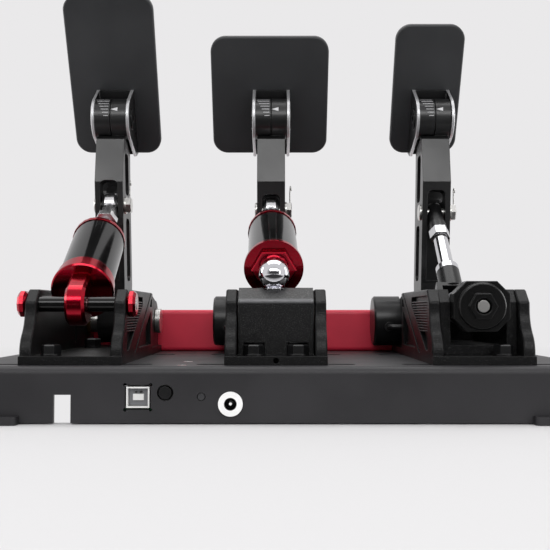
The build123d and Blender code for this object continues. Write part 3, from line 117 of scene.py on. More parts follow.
# %% The recipe
def finish(name, colour, rough, metallic=0.0, grain_mm=0.5, grain=0.15, patch=0.10, spread=0.05,
           edge_mm=0.3, lines=(1, 1, 1), flecks=0.0, coat=0.0, specular=0.5):
    """Material of a colour and roughness, with soft patches, a grain of a real size and eased edges.

    Where a value of lines is below 1, the grain is drawn out into lines along that axis.
    """
    material = bpy.data.materials.new(name)
    material.use_nodes = True
    tree = material.node_tree
    tree.nodes.clear()
    place = add(tree, "TexCoord", {}).outputs["Object"]
    patches = add(tree, "TexNoise", {"Vector": place, "Scale": 1 / (PATCH_MM * MM), "Detail": 3.0})
    along = add(tree, "Mapping", {"Vector": place, "Scale": lines})
    grains = add(tree, "TexNoise", {"Vector": along.outputs[0], "Scale": 1 / (grain_mm * MM), "Detail": 2.0})
    tone = add(tree, "MapRange", {"Value": patches.outputs["Fac"], "From Min": NOISE_LOW,
                                  "From Max": NOISE_HIGH})
    base = linear(colour)
    dark = [v * (1 - patch) for v in base[:3]] + [1]
    light = [min(1, v * (1 + patch) + LEAST_LIFT) for v in base[:3]] + [1]
    shade = add(tree, "Mix", {"Factor": tone.outputs[0], COLOUR_A: dark, COLOUR_B: light},
                data_type="RGBA").outputs[COLOUR_OUT]
    if flecks:
        peaks = add(tree, "MapRange", {"Value": grains.outputs["Fac"], "From Min": FLECK_START,
                                       "From Max": FLECK_FULL})
        lit = [min(1, v + flecks) for v in base[:3]] + [1]
        shade = add(tree, "Mix", {"Factor": peaks.outputs[0], COLOUR_A: shade, COLOUR_B: lit},
                    data_type="RGBA").outputs[COLOUR_OUT]
    gloss = add(tree, "MapRange", {"Value": patches.outputs["Fac"], "From Min": NOISE_LOW,
                                   "From Max": NOISE_HIGH, "To Min": max(LEAST_ROUGHNESS, rough - spread),
                                   "To Max": rough + spread})
    eased = add(tree, "Bevel", {"Radius": edge_mm * MM}, samples=EDGE_SAMPLES)
    bump = add(tree, "Bump", {"Height": grains.outputs["Fac"], "Strength": grain,
                              "Distance": grain_mm * MM / GRAIN_WIDTH_BY_HEIGHT,
                              "Normal": eased.outputs[0]})
    shader = add(tree, "BsdfPrincipled", {"Base Color": shade, "Roughness": gloss.outputs[0],
                                          "Metallic": metallic, "Normal": bump.outputs[0],
                                          "Coat Weight": coat, "Coat Roughness": COAT_ROUGHNESS,
                                          "Specular IOR Level": specular})
    add(tree, "OutputMaterial", {"Surface": shader.outputs[0]})
    return material


# %% [markdown]
# ## The finishes
# The set has a family of near-blacks that differ in gloss and grain, a few red accents and a little
# bright metal. Textured powder coat is dull with a coarse peel; black anodised aluminium keeps a satin
# sheen and fine mill lines; the damper tubes are polished and lacquered, so they mirror the studio. Real
# tool marks and blasting dents are near a tenth of a millimetre, too fine to show from here, so they are
# drawn at a few tenths.

# %% One material for each of the model's material slots
finishes = {
    # Polyester powder coat on sheet steel: a dull black with fine orange peel of about half a millimetre.
    "black_powder_coat": finish("powder_coated_steel", "#242326", 0.50, grain_mm=0.5, grain=0.30),
    # Wrinkle coat on the cast brackets: deep black and coarse, with grit that catches the light.
    "black_cast": finish("wrinkle_coated_casting", "#0b0b0c", 0.38, grain_mm=0.7, grain=0.6,
                         edge_mm=0.6, flecks=0.03, specular=0.24),
    # Red anodised aluminium: the dye lies over bright metal, so the highlights are red.
    "red_anodised": finish("red_anodised_aluminium", "#a80020", 0.20, metallic=1.0, grain_mm=0.3,
                           grain=0.05, patch=0.08, edge_mm=0.4, coat=0.35),
    # Red beam, bead-blasted before the dye: satin, with broad soft highlights.
    "red_satin": finish("blasted_red_beam", "#dc2b46", 0.45, grain_mm=0.4, grain=0.12),
    # Black anodised aluminium: satin, with the mill's lines running up the arm.
    "black_anodised": finish("black_anodised_aluminium", "#121213", 0.32, grain_mm=0.35, grain=0.08,
                             lines=(1, 1, 0.15), edge_mm=0.5, specular=0.7),
    # Face plates, blasted before they are anodised: a paler, flatter black than the arms.
    "face_anodised": finish("blasted_anodised_plate", "#2b2c2e", 0.46, grain_mm=0.3, grain=0.10,
                            edge_mm=0.4),
    # Lacquered black tube: a mirror under a clear coat.
    "gloss_black": finish("lacquered_black_tube", "#050505", 0.15, grain_mm=0.6, grain=0.01,
                          spread=0.03, coat=0.2, specular=0.35),
    # Chrome plate on ground steel: a clean mirror with hardly any colour of its own.
    "chrome": finish("chrome_plate", "#e4e4e8", 0.07, metallic=1.0, grain_mm=0.4, grain=0.02,
                     spread=0.02, patch=0.03, edge_mm=0.35),
    # Black oxide on hardened screws: a thin dark skin with a low sheen.
    "black_steel": finish("black_oxide_steel", "#101011", 0.28, grain_mm=0.3, grain=0.08),
    # Turned bright steel: a silky shine, broken a little by the tool marks.
    "bright_steel": finish("turned_bright_steel", "#dcdbd8", 0.30, metallic=1.0, grain_mm=0.25, grain=0.05),
    # Drawn spring wire: the same shine on a darker grey.
    "spring_steel": finish("drawn_spring_wire", "#8d8e92", 0.30, metallic=1.0, grain_mm=0.3, grain=0.08),
    # Moulded rubber: matt, with a soft highlight that hardly shows.
    "elastomer": finish("moulded_rubber", "#1b1b1b", 0.72, grain_mm=0.6, grain=0.2),
    # Moulded plastic: the grain of the mould breaks its highlights up.
    "black_plastic": finish("moulded_black_plastic", "#0e0e0f", 0.34, grain_mm=0.35, grain=0.2),
    # Solder resist on a circuit board: a glassy dark green with paler spots.
    "circuit_board": finish("green_solder_resist", "#0d4a2b", 0.32, grain_mm=1.2, grain=0.1, flecks=0.02),
    # Nickel-plated sheet: pale and satin, since its fine scratches scatter most of the light.
    "nickel_shell": finish("nickel_plated_shell", "#f0f0ee", 0.30, metallic=0.25, grain_mm=0.3, grain=0.04),
    # Smoke-tinted window over the lamp, nearly the panel's own colour while it is off.
    "smoked_window": finish("smoked_plastic_window", "#38383a", 0.30, grain_mm=0.4, grain=0.02),
    # Sintered bronze: a dull gold with a sandy grain.
    "bronze": finish("sintered_bronze", "#a67b45", 0.42, metallic=1.0, grain_mm=0.4, grain=0.2, flecks=0.05),
}
print(len(finishes), "finishes")


# %% Give every node the finish that the model's own list names
def dress(piece, material):
    """Put one material in every slot of a piece."""
    for holder in piece.material_slots:
        holder.material = material


for entry in frame["record"]["subparts"]:
    dress(nodes[entry["node"]], finishes[entry["material_slot"]])

# %% Pieces whose surface differs from that of the others in their slot
# The load cell's cover has a satin coat with a fine sparkle.
cover_finish = finish("sparkle_coated_cover", "#0a0a0b", 0.30, grain_mm=0.5, grain=0.32, edge_mm=0.6,
                      flecks=0.11, spread=0.03, specular=0.4)
# The clutch's end block is turned and hard anodised, much glossier than the casting round it.
block_finish = finish("hard_anodised_block", "#060606", 0.20, grain_mm=0.3, grain=0.05, edge_mm=0.7,
                      spread=0.03, specular=0.45)
# The dampers' rods and eyes are ground and satin chromed, so they stay light where a mirror would go dark.
satin_chrome = finish("satin_chromed_rod", "#e6e6e8", 0.24, metallic=1.0, grain_mm=0.3, grain=0.04,
                      spread=0.04, edge_mm=0.4)
finer = {"brake_cover": cover_finish, "clutch_end_block": block_finish,
         "throttle_rod": satin_chrome, "throttle_rod_end": satin_chrome,
         "brake_rod": satin_chrome, "brake_rod_end": satin_chrome}
for node, material in finer.items():
    dress(nodes[node], material)
print(len(finer), "pieces with a finish of their own")

# %% [markdown]
# ## Two finishes on one piece
# Some pieces change their finish along the way: the clutch strut is a black sleeve, a chromed tube, a plated
# nut and a black end;
# the hinge cheeks are black with a bare, diamond-cut rim; and the power jack is a black socket in a bright
# ring. The load cell's
# cover gets a painted highlight: a pale line along its shoulder, where the bend catches the light. The mesh
# could be split and given two materials, but it is fixed. So each gets a mask, worked out from the place on
# the piece, that blends the two looks on one shader.


# %% Helpers for masks
def centre_of(node):
    """Middle of a node's box at rest."""
    low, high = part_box(node)
    return (Vector(low) + Vector(high)) / 2


def band(tree, value, start, end, soft=0.0001):
    """1 where a value lies between two limits, 0 outside."""
    rise = add(tree, "MapRange", {"Value": value, "From Min": start - soft, "From Max": start + soft})
    fall = add(tree, "MapRange", {"Value": value, "From Min": end + soft, "From Max": end - soft})
    return add(tree, "Math", {0: rise.outputs[0], 1: fall.outputs[0]}, operation="MULTIPLY").outputs[0]


def second_look(material, mask_of, colour, rough, metallic):
    """Blend a second colour, roughness and metallic value into a material where a mask is 1."""
    tree = material.node_tree
    shader = next(node for node in tree.nodes if node.type == "BSDF_PRINCIPLED")
    mask = mask_of(tree, add(tree, "TexCoord", {}).outputs["Object"])
    for socket, value in (("Base Color", linear(colour)), ("Roughness", rough), ("Metallic", metallic)):
        target = shader.inputs[socket]
        before = target.links[0].from_socket if target.is_linked else target.default_value
        if socket == "Base Color":
            mixed = add(tree, "Mix", {"Factor": mask, COLOUR_A: before, COLOUR_B: value},
                        data_type="RGBA").outputs[COLOUR_OUT]
        else:
            mixed = add(tree, "Mix", {"Factor": mask, NUMBER_A: before, NUMBER_B: value},
                        data_type="FLOAT").outputs[NUMBER_OUT]
        tree.links.new(mixed, target)


# %% The clutch strut: chromed tube, plated washer and nut between black ends
# Both stretches are distances from the slider, up the strut
CHROME_TUBE = (0.0300, 0.0600)
PLATED_NUT = (0.0623, 0.0697)
clutch_bolt = centre_of("clutch_clevis_bolt")
strut_start = centre_of("clutch_slider")
strut_end = Vector((centre_of("clutch_arm").x, clutch_bolt.y, clutch_bolt.z))
strut_way = (strut_end - strut_start).normalized()


def strut_mask(tree, place):
    """1 on the chromed tube and on the nut, by the distance up the strut."""
    away = add(tree, "VectorMath", {0: place, 1: strut_start}, operation="SUBTRACT").outputs[0]
    run = add(tree, "VectorMath", {0: away, 1: strut_way}, operation="DOT_PRODUCT").outputs["Value"]
    tube = band(tree, run, *CHROME_TUBE)
    nut = band(tree, run, *PLATED_NUT)
    return add(tree, "Math", {0: tube, 1: nut}, operation="MAXIMUM").outputs[0]


# Satin black lacquer beside a mirror of chrome, which makes the tube look brighter still.
strut_finish = finish("lacquered_and_chromed_strut", "#0c0c0d", 0.30, grain_mm=0.4, grain=0.04)
second_look(strut_finish, strut_mask, "#dcdcdf", 0.10, 1.0)
dress(nodes["clutch_strut"], strut_finish)
print("strut of", round((strut_end - strut_start).length / MM), "mm with two bright stretches")

# %% The load cell's cover: a painted highlight, a light line along the bend at the shoulder
SHOULDER, SHOULDER_FADE = (0.0633, 0.0652), 0.0005


def painted_highlight_mask(tree, place):
    """1 where the cover's rear turns over from upright to sloping: the band of the painted highlight."""
    height = add(tree, "SeparateXYZ", {"Vector": place}).outputs["Z"]
    return band(tree, height, *SHOULDER, SHOULDER_FADE)


# Painted highlight: a paler, glossier, half-metallic grey stands in for the light that the bend catches
second_look(cover_finish, painted_highlight_mask, "#6c6c6e", 0.26, 0.4)
print("buffed line from", [round(height / MM, 1) for height in SHOULDER], "mm")

# %% The hinge cheeks: black anodised, with a bare rim where the edge was cut after anodising
CHEEK_THICKNESS = 0.0021
# A normal's X part is near 1 on a cheek's flat sides and below this value on its rim
SIDE_NORMAL, SIDE_FADE = 0.9, 0.05
for pedal in PEDALS:
    low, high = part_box(pedal + "_face_bracket")

    def rim_mask(tree, place, low=low, high=high):
        """1 on the two cheeks, where the surface looks along the cheek and not across it."""
        x = add(tree, "SeparateXYZ", {"Vector": place}).outputs["X"]
        left = band(tree, x, low[0] - MM, low[0] + CHEEK_THICKNESS)
        right = band(tree, x, high[0] - CHEEK_THICKNESS, high[0] + MM)
        cheeks = add(tree, "Math", {0: left, 1: right}, operation="MAXIMUM").outputs[0]
        across = add(tree, "SeparateXYZ", {"Vector": add(tree, "NewGeometry", {}).outputs["True Normal"]})
        turned = add(tree, "Math", {0: across.outputs["X"]}, operation="ABSOLUTE").outputs[0]
        edge = band(tree, turned, -1, SIDE_NORMAL, SIDE_FADE)
        return add(tree, "Math", {0: cheeks, 1: edge}, operation="MULTIPLY").outputs[0]

    # Black anodised aluminium with a bare rim: satin black sides inside a thin pale outline.
    cheek_finish = finish(pedal + "_hinge_cheek", "#121213", 0.32, grain_mm=0.35, grain=0.08,
                          edge_mm=0.3, specular=0.7)
    second_look(cheek_finish, rim_mask, "#d6d6d8", 0.42, 0.8)
    dress(nodes[pedal + "_face_bracket"], cheek_finish)
print(2 * len(PEDALS), "cheeks with a bare rim")

# %% The power jack: a black socket and a bright pin inside a bright ring
SOCKET_RADIUS, PIN_RADIUS = 0.0033, 0.0010
jack = centre_of("power_jack")


def jack_mask(tree, place):
    """1 inside the socket's bore, apart from the pin in its middle."""
    flat = add(tree, "VectorMath", {0: place, 1: (1, 0, 1)}, operation="MULTIPLY").outputs[0]
    away = add(tree, "VectorMath", {0: flat, 1: (jack.x, 0, jack.z)}, operation="DISTANCE").outputs["Value"]
    return band(tree, away, PIN_RADIUS, SOCKET_RADIUS)


# Nickel plate over turned brass: a pale satin ring, so the dark bore inside it stands out.
jack_finish = finish("nickel_plated_jack", "#f6f6f4", 0.35, grain_mm=0.3, grain=0.03)
second_look(jack_finish, jack_mask, "#0b0b0c", 0.45, 0.0)
dress(nodes["power_jack"], jack_finish)
print("jack's bore of", round(2 * SOCKET_RADIUS / MM, 1), "mm in black")

# %% [markdown]
# ## Small pieces that the frame leaves out
# The frame holds everything that carries load. What it leaves out is modelled here as by hand: a primitive
# at its size and place, shaped in edit mode, and finished with a bevel.


# %% Helpers for modelling
def select_only(piece):
    """Make one object the only selected and active one."""
    bpy.ops.object.select_all(action="DESELECT")
    piece.select_set(True)
    bpy.context.view_layer.objects.active = piece


def settle(piece, name, body, material):
    """Bring a finished piece's origin to the world's, name and dress it, and fix its body and slot."""
    select_only(piece)
    bpy.ops.object.transform_apply(location=True, rotation=True, scale=True)
    piece.name = name
    piece.data.materials.clear()
    piece.data.materials.append(material)
    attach(piece, body)
    print(name, "has", len(piece.data.polygons), "faces and rides on", body)


def bevelled(piece, width, segments=2):
    """Apply a piece's scale and round its edges."""
    select_only(piece)
    bpy.ops.object.transform_apply(location=False, rotation=False, scale=True)
    rounding = piece.modifiers.new("rounding", "BEVEL")
    rounding.width = width
    rounding.segments = segments
    bpy.ops.object.modifier_apply(modifier=rounding.name)
    return piece


def joined(pieces):
    """Join several objects into the first."""
    bpy.ops.object.select_all(action="DESELECT")
    for piece in pieces:
        piece.select_set(True)
    bpy.context.view_layer.objects.active = pieces[0]
    bpy.ops.object.join()
    return pieces[0]


# %% [markdown]
# ### Cooling fins
# Each bracket wall has a triangular pocket near its rear edge, filled with thin horizontal fins. The fins
# start as one long bar each, are joined, and one bisect cuts all their front ends along the slanting wall
# of the pocket, which is quicker and truer than giving each fin its own length.

# %% The pocket and its fins, measured inwards from the tray's rear face and upwards from the ground
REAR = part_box("base_tray")[0][1]
POCKET_IN, POCKET_DEPTH = (0.028, 0.086), 0.0024
FIN_LOW, FIN_PITCH, FIN_THICKNESS, FIN_COUNT = 0.0475, 0.00150, 0.00080, 12
# A bar fills most of the pocket's depth and is a little longer than the pocket at both ends
FIN_FILL, FIN_OVERLAP, FIN_ROUNDING = 0.92, 0.0002, 0.00012
bar_length = POCKET_IN[1] - POCKET_IN[0] + 2 * FIN_OVERLAP
# Two points of the slanting wall, each by its distance inwards and its height
SLANT_LOW, SLANT_HIGH = (0.034, 0.037), (0.086, 0.062)
slant = Vector((0, SLANT_HIGH[0] - SLANT_LOW[0], SLANT_HIGH[1] - SLANT_LOW[1])).normalized()
print("bars of", round(bar_length / MM, 1), "mm before they are cut")

# %% Fins in the pockets of the three brackets
for pedal in PEDALS:
    low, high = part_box(pedal + "_bracket")
    for side, outer_x, inward in (("left", low[0], 1), ("right", high[0], -1)):
        bars = []
        for number in range(FIN_COUNT):
            bpy.ops.mesh.primitive_cube_add(
                size=1,
                location=(outer_x + inward * POCKET_DEPTH / 2, REAR + sum(POCKET_IN) / 2,
                          FIN_LOW + number * FIN_PITCH),
                scale=(POCKET_DEPTH * FIN_FILL, bar_length, FIN_THICKNESS))
            bars.append(bevelled(bpy.context.object, FIN_ROUNDING, 1))
        fins = joined(bars)
        bpy.ops.object.transform_apply(location=True, rotation=True, scale=True)
        bpy.ops.object.mode_set(mode="EDIT")
        bpy.ops.mesh.select_all(action="SELECT")
        bpy.ops.mesh.bisect(plane_co=(0, REAR + SLANT_LOW[0], SLANT_LOW[1]),
                            plane_no=(0, slant.z, -slant.y), use_fill=True, clear_outer=True)
        bpy.ops.object.mode_set(mode="OBJECT")
        settle(fins, pedal + "_fins_" + side, "base", finishes["black_cast"])

# %% [markdown]
# ### The tilt scale
# Each face tilts about the barrel of its hinge. The left half of the barrel turns with the face and has
# printed white marks, longer towards the top, and the right half belongs to the arm and has a white
# pointer. A picture of the marks could be laid on the barrel, but slivers as thin as paint need no
# picture, stay sharp at any distance and move with their own half.

# %% White paint
# Screen-printed ink: matt and nearly white, so it reads as flat paint on the satin barrel.
scale_paint = finish("white_screen_print", "#c6c6c8", 0.55, grain_mm=0.3, grain=0.05, patch=0.04)
BARREL_RADIUS = 0.0140
MARK_THICKNESS, PAINT_THICKNESS, PAINT_ROUNDING = 0.00042, 0.00008, 0.00002
# The marks start near the barrel's rearmost line and climb over it by equal angles in degrees
FIRST_ANGLE, ANGLE_STEP, MARK_COUNT = -2, 9.6, 7
SHORT_MARK, MARK_GROWTH, MARK_GAP = 0.0033, 0.00095, 0.0012
POINTER_ANGLE, POINTER_LENGTH, POINTER_HEIGHT, POINTER_GAP = 17, 0.0047, 0.0029, 0.00036


def on_barrel(bolt, x, angle):
    """Place on a barrel's surface, at an angle above its rearmost line."""
    return (x, bolt.y - BARREL_RADIUS * math.cos(angle), bolt.z + BARREL_RADIUS * math.sin(angle))


# %% The pointer's shape
# A triangle in a circle of radius 1 is 1.5 high and as wide as the root of 3
TRIANGLE_HEIGHT, TRIANGLE_WIDTH = 1.5, math.sqrt(3)
# The prism stands with one corner at +Y: it is laid so that this corner points along -X
turn = Matrix.Rotation(math.radians(90), 4, "Z")
stand = Matrix.Rotation(math.radians(90), 4, "X")
size = Matrix.Diagonal((POINTER_LENGTH / TRIANGLE_HEIGHT, PAINT_THICKNESS,
                        POINTER_HEIGHT / TRIANGLE_WIDTH, 1))
pointer_angle = math.radians(POINTER_ANGLE)
lean = Matrix.Rotation(-pointer_angle, 4, "X")
print("pointer of", round(POINTER_LENGTH / MM, 1), "by", round(POINTER_HEIGHT / MM, 1), "mm")

# %% Marks and pointer on each barrel
for pedal in PEDALS:
    bolt = centre_of(pedal + "_face_bolt")
    marks = []
    for number in range(MARK_COUNT):
        angle = math.radians(FIRST_ANGLE + number * ANGLE_STEP)
        length = SHORT_MARK + number * MARK_GROWTH
        bpy.ops.mesh.primitive_cube_add(
            size=1, location=on_barrel(bolt, bolt.x - MARK_GAP - length / 2, angle),
            rotation=(-angle, 0, 0), scale=(length, PAINT_THICKNESS, MARK_THICKNESS))
        marks.append(bevelled(bpy.context.object, PAINT_ROUNDING, 1))
    settle(joined(marks), pedal + "_tilt_marks", pedal + "_face", scale_paint)

    bpy.ops.mesh.primitive_cylinder_add(vertices=3, radius=1, depth=1, location=(0, 0, 0))
    pointer = bpy.context.object
    # The triangle's middle lies at two thirds of its height from the corner
    middle_x = bolt.x + POINTER_GAP + POINTER_LENGTH * 2 / 3
    middle = Vector(on_barrel(bolt, middle_x, pointer_angle))
    pointer.matrix_world = Matrix.Translation(middle) @ lean @ size @ stand @ turn
    settle(pointer, pedal + "_tilt_pointer", pedal + "_pedal", scale_paint)

# %% [markdown]
# ### Sockets and button on the rear face
# The square socket holds a grey insulator round its tongue, with two dark contacts above the tongue. The
# button and the lamp window sit in glossy black collars, whose rounded lips catch the light. All of them
# are simple solids, so a rounded block or a flattened ring is enough.

# %% The insulator in the square socket
# Moulded nylon: an even mid grey without a clear highlight.
grey_nylon = finish("grey_moulded_nylon", "#6f7073", 0.5, grain_mm=0.4, grain=0.06, patch=0.05)
SHELL_WALL, INSULATOR_GAP, INSULATOR_ROUNDING = 0.0008, 0.00008, 0.0003
# The insulator's near face lies this far behind the socket's mouth
INSULATOR_IN, INSULATOR_DEPTH = 0.0035, 0.0020
usb_low, usb_high = (Vector(corner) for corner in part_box("usb_socket"))
usb_middle = (usb_low + usb_high) / 2
usb_size = usb_high - usb_low
margin = 2 * (SHELL_WALL + INSULATOR_GAP)
bpy.ops.mesh.primitive_cube_add(
    size=1, location=(usb_middle.x, usb_low.y + INSULATOR_IN + INSULATOR_DEPTH / 2, usb_middle.z),
    scale=(usb_size.x - margin, INSULATOR_DEPTH, usb_size.z - margin))
insulator = bevelled(bpy.context.object, INSULATOR_ROUNDING)
settle(insulator, "usb_insulator", "base", grey_nylon)

# %% Two contacts above the tongue
CONTACT_SIZE, CONTACT_ROUNDING = (0.0012, 0.0012, 0.0007), 0.0001
CONTACT_ASIDE, CONTACT_IN, CONTACT_RISE = 0.0013, 0.0030, 0.0026
contacts = []
for side in (-1, 1):
    bpy.ops.mesh.primitive_cube_add(
        size=1, scale=CONTACT_SIZE,
        location=(usb_middle.x + side * CONTACT_ASIDE, usb_low.y + CONTACT_IN, usb_middle.z + CONTACT_RISE))
    contacts.append(bevelled(bpy.context.object, CONTACT_ROUNDING))
settle(joined(contacts), "usb_contacts", "base", finishes["black_plastic"])

# %% Pressed collars round the button and the lamp window
COLLAR_FLATNESS = 0.8
for name, node, radius, lip in (("button_collar", "reset_button", 0.0041, 0.00022),
                                ("lamp_collar", "status_light", 0.0021, 0.00014)):
    middle = centre_of(node)
    bpy.ops.mesh.primitive_torus_add(
        major_segments=64, minor_segments=10, major_radius=radius, minor_radius=lip,
        location=(middle.x, REAR, middle.z), rotation=(math.radians(90), 0, 0))
    collar = bpy.context.object
    collar.scale = (1, 1, COLLAR_FLATNESS)
    bpy.ops.object.shade_smooth()
    settle(collar, name, "base", finishes["gloss_black"])

# %% [markdown]
# ### Sensor elbows and wire clips
# Each sensor housing has a moulded elbow that leads its wires into the bracket. Each clevis bolt is secured
# by a sprung wire clip that stands up beside the arm. An extrusion would leave corners at the bends, so
# both are swept: a smooth path through a few points gets a round section and becomes a mesh.

# %% A wire or tube along a few points
STEPS_PER_POINT, ROD_SMOOTH_ANGLE = 10, 50


def swept(points, radius):
    """A round rod along a smooth path of five points or more, as a mesh."""
    bpy.ops.curve.primitive_nurbs_path_add(location=(0, 0, 0))
    path = bpy.context.object
    spline = path.data.splines[0]
    spline.points.add(len(points) - len(spline.points))
    for point, place in zip(spline.points, points):
        point.co = (*place, 1)
    spline.order_u = 3
    spline.use_endpoint_u = True
    path.data.bevel_depth = radius
    path.data.bevel_resolution = 3
    path.data.resolution_u = STEPS_PER_POINT
    path.data.use_fill_caps = True
    select_only(path)
    bpy.ops.object.convert(target="MESH")
    bpy.ops.object.shade_smooth_by_angle(angle=math.radians(ROD_SMOOTH_ANGLE))
    return bpy.context.object


# %% Elbows from the housings into the brackets
# Each starts a little inside the housing's rear face, at a distance from the housing's right side
ELBOW_RADIUS, ELBOW_HEIGHT, ELBOW_ASIDE, ELBOW_ROOT = 0.0019, 0.048, 0.0085, 0.0010
# It runs straight back, turns to the right and ends just past the housing's right side
STRAIGHT_END, TURN_START, ELBOW_REACH = 0.0015, 0.0050, 0.0060
TURN_END, ELBOW_PAST = 0.0035, 0.0004
for pedal in PEDALS:
    low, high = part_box(pedal + "_sensor_housing")
    side_x = high[0]
    x, y, z = side_x - ELBOW_ASIDE, low[1], ELBOW_HEIGHT
    route = [(x, y + ELBOW_ROOT, z), (x, y - STRAIGHT_END, z), (x, y - TURN_START, z),
             (x + TURN_END, y - ELBOW_REACH, z), (side_x + ELBOW_PAST, y - ELBOW_REACH, z)]
    elbow = swept(route, ELBOW_RADIUS)
    settle(elbow, pedal + "_sensor_elbow", "base", finishes["black_plastic"])

# %% Wire clips on the clevis bolts
# A clip stands near the bolt's right end, a little behind its middle: a straight leg with a loop on top
WIRE_RADIUS, CLIP_HEIGHT, CLIP_FROM_END, CLIP_BEHIND = 0.00045, 0.0150, 0.0012, 0.0010
LEG_START, LEG_MIDDLE = 0.003, 0.008
# The loop is narrow from front to back and leans a little to the right, and its angles are in degrees
LOOP_RADIUS, LOOP_NARROWNESS, LOOP_LEAN = 0.0016, 0.5, 0.0001
LOOP_START, LOOP_STEP, LOOP_POINTS = -90, 42, 9
for pedal in PEDALS:
    bolt = centre_of(pedal + "_clevis_bolt")
    bolt_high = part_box(pedal + "_clevis_bolt")[1]
    x = bolt_high[0] - CLIP_FROM_END
    y = bolt.y - CLIP_BEHIND
    top = bolt.z + CLIP_HEIGHT
    route = [(x, y, bolt.z + LEG_START), (x, y, bolt.z + LEG_MIDDLE), (x, y, top - LOOP_RADIUS)]
    for step in range(LOOP_POINTS):
        turn = math.radians(LOOP_START + step * LOOP_STEP)
        route.append((x + LOOP_LEAN * step, y + LOOP_RADIUS * math.cos(turn) * LOOP_NARROWNESS,
                      top + LOOP_RADIUS * math.sin(turn)))
    clip = swept(route, WIRE_RADIUS)
    settle(clip, pedal + "_retaining_clip", pedal + "_pedal", finishes["bright_steel"])

# %% [markdown]
# ### Springs and elastomers
# Three pieces shorten while a pedal goes down: the clutch's coil spring, the return spring inside the
# throttle's tube and the elastomer stack inside the brake's. Each becomes a merged, smooth copy of the
# frame's own piece, which rides on the piece's body in place of the original.

# %% Merged, smooth copies in place of the frame's pieces
MERGE_DISTANCE, SPRING_SMOOTH_ANGLE = 0.000002, 40
for node, name, joint_name, body, slot in (
        ("throttle_spring", "throttle_return_spring", "throttle_stroke", "throttle_damper", "spring_steel"),
        ("brake_elastomers", "brake_elastomer_stack", "brake_stroke", "brake_damper", "elastomer"),
        ("clutch_spring", "clutch_coil_spring", "clutch_slide", "base", "spring_steel")):
    piece = bpy.data.objects.new(name, nodes[node].data.copy())
    bpy.context.scene.collection.objects.link(piece)
    select_only(piece)
    bpy.ops.object.mode_set(mode="EDIT")
    bpy.ops.mesh.select_all(action="SELECT")
    bpy.ops.mesh.remove_doubles(threshold=MERGE_DISTANCE)
    bpy.ops.object.mode_set(mode="OBJECT")
    bpy.ops.object.shade_smooth_by_angle(angle=math.radians(SPRING_SMOOTH_ANGLE))
    settle(piece, name, body, finishes[slot])
    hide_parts(node)
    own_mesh(piece)

# %% [markdown]
# ## The studio
# The photograph looks at the back of the set from close by, just above the floor. The camera stands there
# with the lens that gives the same perspective. A pale floor runs into a background of the same grey. The
# side of the studio behind the camera is dark, as with a photographer's black flags, so that the black
# metal stays black, and soft boxes above it draw the light bands on round and sloping surfaces.

# %% Camera
# The focal length in pixels, the place and the two angles in degrees were fitted to the photograph
SENSOR, FRAME_PIXELS, FOCAL_PIXELS = 36, 550, 902
CAMERA_BEHIND, CAMERA_HEIGHT = 0.470, 0.0585
TILT_UP, TURN_LEFT = 2.32, 0.06
camera_data = bpy.data.cameras.new("camera")
camera_data.sensor_width = SENSOR
camera_data.lens = FOCAL_PIXELS / FRAME_PIXELS * SENSOR
camera_data.clip_start = 0.01
camera = bpy.data.objects.new("camera", camera_data)
bpy.context.scene.collection.objects.link(camera)
camera.location = (0, REAR - CAMERA_BEHIND, CAMERA_HEIGHT)
camera.rotation_euler = (math.radians(90 + TILT_UP), 0, math.radians(TURN_LEFT))
bpy.context.scene.camera = camera
print("lens of", round(camera_data.lens, 1), "mm")

# %% World: pale round the set, with a dark flag behind the camera that only reflections show
PALE = linear("#eae9ea")
# A direction's Y part is -1 straight behind the camera. Between the first two the flag turns into pale sides
FLAG_SIDE, SIDE_FULL, SIDE_LEVEL = -0.88, -0.55, 0.9
# A direction's Z part is 1 overhead. Between the first two the flag turns into a pale ceiling
FLAG_TOP, CEILING_FULL, CEILING_LEVEL = 0.25, 0.50, 0.8
FLAG_LEVEL, AMBIENT_LEVEL = 0.06, 0.80
world = bpy.data.worlds.new("studio")
bpy.context.scene.world = world
world.use_nodes = True
sky = world.node_tree
sky.nodes.clear()
sky_rays = add(sky, "LightPath", {})
way = add(sky, "SeparateXYZ", {"Vector": add(sky, "TexCoord", {}).outputs["Generated"]})
aside = add(sky, "MapRange", {"Value": way.outputs["Y"], "From Min": FLAG_SIDE, "From Max": SIDE_FULL,
                              "To Max": SIDE_LEVEL})
above = add(sky, "MapRange", {"Value": way.outputs["Z"], "From Min": FLAG_TOP, "From Max": CEILING_FULL,
                              "To Max": CEILING_LEVEL})
mirrored = add(sky, "Math", {0: aside.outputs[0], 1: above.outputs[0]}, operation="MAXIMUM")
mirrored = add(sky, "Math", {0: mirrored.outputs[0], 1: FLAG_LEVEL}, operation="MAXIMUM")
straight = add(sky, "Math", {0: sky_rays.outputs["Is Camera Ray"],
                             1: sky_rays.outputs["Is Transmission Ray"]}, operation="MAXIMUM")
level = add(sky, "Math", {0: straight.outputs[0], 1: mirrored.outputs[0]}, operation="MAXIMUM")
seen = add(sky, "Math", {0: straight.outputs[0], 1: sky_rays.outputs["Is Glossy Ray"]}, operation="MAXIMUM")
backdrop = add(sky, "Background", {"Color": PALE, "Strength": level.outputs[0]})
ambient = add(sky, "Background", {"Color": linear("#ffffff"), "Strength": AMBIENT_LEVEL})
blend = add(sky, "MixShader", {0: seen.outputs[0], 1: ambient.outputs[0], 2: backdrop.outputs[0]})
add(sky, "OutputWorld", {"Surface": blend.outputs[0]})
print("world of", len(sky.nodes), "nodes")

# %% [markdown]
# The floor is a sheet that keeps the shadow near the set and turns into the background further out.
# Between the set and the camera lies a black card, seen in reflections only. A small card glows inside the
# tray at the cable notch, so that the notch shows the same pale ground as around the set: painted light
# where the tray's shade would fall.

# %% Paper for the floor
# Distances from the set's middle between which the paper turns into the background
FADE_START, FADE_END = 0.35, 1.1
